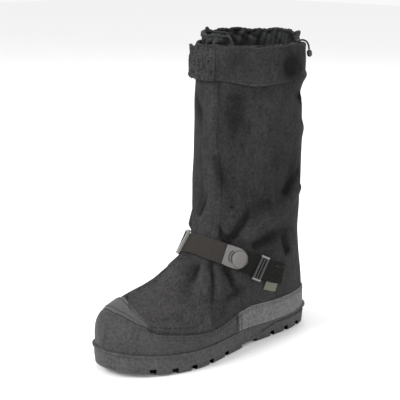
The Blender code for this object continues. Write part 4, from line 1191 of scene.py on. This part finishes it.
def sole_place(u, v):
    """Back round the sole to the toe tip, and up its section from the middle of the base."""
    u, v = 1 - u, 1 - v
    angle = 2 * np.pi * u
    y = -LENGTH / 2 * np.cos(angle)
    side = np.where(angle <= np.pi, 1, -1)
    at = v * (len(SECTION) - 1)
    low = np.clip(np.floor(at + 1e-6).astype(int), 0, len(SECTION) - 2)
    share = at - low
    insets = SECTION[:, :1] * MM - SECTION[:, 1:2] * rim_flare(y) - SECTION[:, 2:3] * block_flare(y)
    heights = SECTION[:, 3:6] @ np.stack((sole_top(y), block_lift(y), spring(y))) + SECTION[:, 6:] * MM
    pick = np.arange(len(y))
    inset = (1 - share) * insets[low, pick] + share * insets[low + 1, pick]
    z = (1 - share) * heights[low, pick] + share * heights[low + 1, pick]
    left, right = edge_x(y, -1), edge_x(y, 1)
    half = np.maximum((right - left) / 2 - inset, 0)
    half = np.where((u < 1e-6) | (u > 1 - 1e-6) | (np.abs(u - 0.5) < 1e-6), 0, half)
    return np.stack(((left + right) / 2 + side * half, y * (1 - inset / (LENGTH / 2)), z), axis=-1)


sole = grid("outsole_moulded", 440, len(SECTION) - 1, sole_place, sole_rubber, wrap=True, texture=(0.9, 0.1),
            steps=False)
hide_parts("outsole")

# Middles of the notches between the tread blocks, as shares of LENGTH
NOTCHES = (-0.395, -0.318, -0.240, -0.155, -0.060, 0.220, 0.300, 0.378)


def cutter(name, boxes):
    """A hidden piece of boxes, each with its centre, size and turn about Z, that is cut out of the sole."""
    builder = bmesh.new()
    for centre, size, turn in boxes:
        turned = Matrix.Translation(centre) @ Matrix.Rotation(turn, 4, "Z") @ Matrix.Diagonal((*size, 1))
        bmesh.ops.create_cube(builder, size=1, matrix=turned)
    made = finished(name, builder, tread_rubber, angle=30)
    made.hide_render = True
    made.hide_viewport = True
    cut = sole.modifiers.new(name, "BOOLEAN")
    cut.operation = "DIFFERENCE"
    cut.object = made
    cut.material_mode = "TRANSFER"


for name, side in (("notches_lateral", 1), ("notches_medial", -1)):
    boxes = []
    for share in NOTCHES:
        y = share * LENGTH
        x = float(edge_x(y, side))
        ahead, behind = float(edge_x(y - 4 * MM, side)), float(edge_x(y + 4 * MM, side))
        turn = math.atan2(8 * MM, behind - ahead) - math.pi / 2
        boxes.append(((x + side * 2.0 * MM, y, float(spring(y))), (19 * MM, 7.6 * MM, 13.0 * MM), turn))
    cutter(name, boxes)
channels = []
for share in NOTCHES:
    y = share * LENGTH
    middle = float(edge_x(y, 1) + edge_x(y, -1)) / 2
    wide = float(edge_x(y, 1) - edge_x(y, -1))
    for side in (-1, 1):
        centre = (middle + side * 0.19 * wide, y + 3 * MM, float(spring(y)))
        channels.append((centre, (0.29 * wide, 3.2 * MM, 5.0 * MM), side * math.radians(16)))
cutter("tread_channels", channels)
cutter("sole_arch", [((0, 0.085 * LENGTH, 0), (2 * BALL_WIDTH, 30 * MM, 9 * MM), 0)])
ease = sole.modifiers.new("ease", "BEVEL")
ease.width = 0.5 * MM
ease.segments = 2
ease.limit_method = "ANGLE"
ease.angle_limit = math.radians(60)


# Stitching

def flap_line(across, start, end):
    """A line down the flap."""
    v = np.linspace(start, end, 160)
    u = np.full_like(v, across)
    spot = flap_at(u, v)
    return on_skin(spot[..., 0], spot[..., 1], flap_lift(u) + OVERLAY)


def skin_line(points, lift, folds=True):
    """A line through a few points, in mm, near the skin."""
    route = np.array(points, float) * MM
    line = array_spline(route, np.linspace(0, len(route) - 1, 80))
    turn, height = turn_and_height(line)
    return on_skin(turn, height, lift, folds)


seams = [flap_line(0.90, 0.0, 0.56), flap_line(0.78, 0.0, 0.56), flap_line(0.93, 0.78, 0.985)]
made = stitches("flap_stitches", seams, thread)

lines = []
for down in (2.0 * MM, 4.6 * MM):
    for start, end in ((-176, -42), (40, 176)):
        turn = np.radians(np.linspace(start, end, 260))
        lines.append(on_skin(turn, rand_edge(turn) - down, GAP + OVERLAY, folds=False))
for side in (-1, 1):
    for off in (-3.2, -5.4, 3.2, 5.4):
        share = np.linspace(0.06, 0.94, 20)
        turn = side * joint_turn(share, side, RAND_JOINT_Y + off * MM)
        lines.append(on_skin(turn, share * rand_edge(turn), GAP + OVERLAY, folds=False))
for off in (-1.3, 1.3):
    lines.append(skin_line(((-2.8 + off, -149.6, 58), (-1.5 + off, -157, 47), (-3.0 + off, -159.3, 30)),
                           GAP + OVERLAY, False))
made = stitches("rand_stitches", lines, pale_thread, 2.8 * MM, 2.0 * MM, 0.28 * MM)

lines = []
inner = PATCH_TURNS[8:-8]
for near in (1.8 * MM, 4.0 * MM):
    span = np.interp(inner, PATCH_TURNS, PATCH_HIGH - PATCH_LOW)
    inset = np.minimum(near, 0.3 * span)
    lines.append(on_skin(inner, np.interp(inner, PATCH_TURNS, PATCH_LOW) + inset, GAP + OVERLAY, False))
    lines.append(on_skin(inner, np.interp(inner, PATCH_TURNS, PATCH_HIGH) - inset * 0.4, GAP + OVERLAY, False))
made = stitches("patch_stitches", lines, pale_thread, 2.8 * MM, 2.0 * MM, 0.28 * MM)


def box_stitch(start, end, half, lift):
    """A sewn rectangle with a cross in it on the strap's line."""
    corners = ((start, -half), (end, -half), (end, half), (start, half), (start, -half), (end, half))
    route = [np.column_stack((np.linspace(a[0], b[0], 20), np.linspace(a[1], b[1], 20)))
             for a, b in zip(corners, corners[1:])]
    lines = []
    for run in route + [np.column_stack((np.linspace(start, end, 20), np.linspace(half, -half, 20)))]:
        points = on_strap(run[:, 0], run[:, 1], lift)
        lines.append((points, on_strap(run[:, 0], run[:, 1], lift + MM) - points))
    return lines


lines = box_stitch(98, 109, 9.5 * MM, WEBBING) + box_stitch(-109, -98, 9.5 * MM, WEBBING)
made = stitches("strap_stitches", lines, thread, 2.6 * MM, 1.9 * MM, 0.36 * MM)

turn = np.linspace(-np.pi, np.pi, 500)
height = open_spline(CUFF_EDGE, 1, np.degrees(turn)) + 3.2 * MM
offset = np.maximum(3.9 * MM + cuff_relief(turn, height), 1.8 * MM)
made = stitches("cuff_stitches", [shell(turn, offset, height)], thread, 3.0 * MM, 2.1 * MM, 0.28 * MM)


# Drawcord

def cord_path(table):
    """Points along one end of the drawcord."""
    turns, offsets, heights = (np.array(column) for column in zip(*table))
    route, _ = shell(np.radians(turns), offsets, heights)
    return array_spline(route, np.linspace(0, len(route) - 1, 6 * len(route)))


def braid(angle, along):
    return 1 + 0.06 * np.sin(4 * angle + 90 * along)


def bead_place(path, radius, length, shape):
    """Placing function of a turned piece on the end of a path."""
    end = path[-1]
    way = (end - path[-2]) / np.linalg.norm(end - path[-2])
    side = np.cross(way, (0.2, 0.9, 0.3))
    side /= np.linalg.norm(side)
    other = np.cross(way, side)

    def place(u, v):
        angle = 2 * np.pi * u
        width, along = shape(v, angle)
        ring = np.cos(angle)[:, None] * side + np.sin(angle)[:, None] * other
        return end + (GAP + length * along)[:, None] * way + (radius * width)[:, None] * ring
    return place


def lock_shape(v, angle):
    return np.sin(np.pi * np.clip(v, 0.002, 0.998)) ** 0.4 * (1 - 0.12 * np.cos(2 * np.pi * v) ** 8), v


def knot_shape(v, angle):
    return np.sin(np.pi * np.clip(v, 0.002, 0.998)) ** 0.6 * (1 + 0.18 * np.sin(2 * angle + 9 * v)), v


rear_path = cord_path(CORD_REAR)
rear = tube("drawcord_loop", rear_path, CORD_RADIUS, cord_cloth, sides=12, ends=False, ripple=braid)
lock = grid("cord_lock_barrel", 32, 26, bead_place(rear_path, 3.3 * MM, 9 * MM, lock_shape), black_plastic,
            wrap=True, steps=False)
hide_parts("drawcord_rear")
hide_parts("cord_lock")
front_path = cord_path(CORD_FRONT)
front = tube("drawcord_end", front_path, CORD_RADIUS, cord_cloth, sides=12, ends=False, ripple=braid)
knot = grid("drawcord_end_knot", 32, 26, bead_place(front_path, 2.4 * MM, 6 * MM, knot_shape), cord_cloth,
            wrap=True, steps=False)
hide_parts("drawcord_front")
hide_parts("drawcord_knot")

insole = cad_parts["insole"]
insole.data.materials.clear()
insole.data.materials.append(lining_cloth)


# Floor, light and camera

builder = bmesh.new()
bmesh.ops.create_grid(builder, x_segments=1, y_segments=1, size=6)
mesh = bpy.data.meshes.new("floor")
builder.to_mesh(mesh)
builder.free()
mesh.materials.append(Paint("floor_paint", (0.92, 0.92, 0.92), 0.9).material)
floor = bpy.data.objects.new("floor", mesh)
bpy.context.scene.collection.objects.link(floor)

world = bpy.data.worlds.new("studio")
bpy.context.scene.world = world
world.use_nodes = True
world.node_tree.nodes["Background"].inputs["Color"].default_value = (1, 1, 1, 1)
world.node_tree.nodes["Background"].inputs["Strength"].default_value = 0.95


def lamp(name, place, size, power):
    """A square or oblong lamp that shines at the middle of the shoe."""
    light = bpy.data.lights.new(name, "AREA")
    light.shape = "RECTANGLE"
    light.size, light.size_y = size
    light.energy = power
    made = bpy.data.objects.new(name, light)
    made.location = place
    made.rotation_euler = (Vector((0, 0, 0.15)) - Vector(place)).to_track_quat("-Z", "Y").to_euler()
    bpy.context.scene.collection.objects.link(made)


lamp("key", (-0.5, -1.9, 1.5), (0.9, 0.9), 48)
lamp("fill", (1.9, -0.9, 0.7), (1.2, 1.2), 17)
lamp("back", (-0.9, 1.6, 2.0), (1.2, 0.8), 20)

AZIMUTH, ELEVATION, ROLL = math.radians(43.80), math.radians(13.52), math.radians(-0.34)
DISTANCE = 1.318
level_back = Vector((math.sin(AZIMUTH), -math.cos(AZIMUTH), 0))
back = level_back * math.cos(ELEVATION) + Vector((0, 0, math.sin(ELEVATION)))
right = Vector((math.cos(AZIMUTH), math.sin(AZIMUTH), 0))
up = back.cross(right)
target = Vector((-2, 0, 171)) * MM
place = target + back * DISTANCE
aim = target - right * 5.6 * MM + up * 4.9 * MM
camera = bpy.data.objects.new("camera", bpy.data.cameras.new("camera"))
camera.data.lens = 99.9
camera.data.sensor_width = 36
camera.location = place
look = (aim - place).to_track_quat("-Z", "Y")
camera.rotation_mode = "QUATERNION"
camera.rotation_quaternion = look @ Matrix.Rotation(-ROLL, 4, "Z").to_quaternion()
bpy.context.scene.collection.objects.link(camera)
bpy.context.scene.camera = camera
bpy.context.scene.view_settings.view_transform = "Standard"
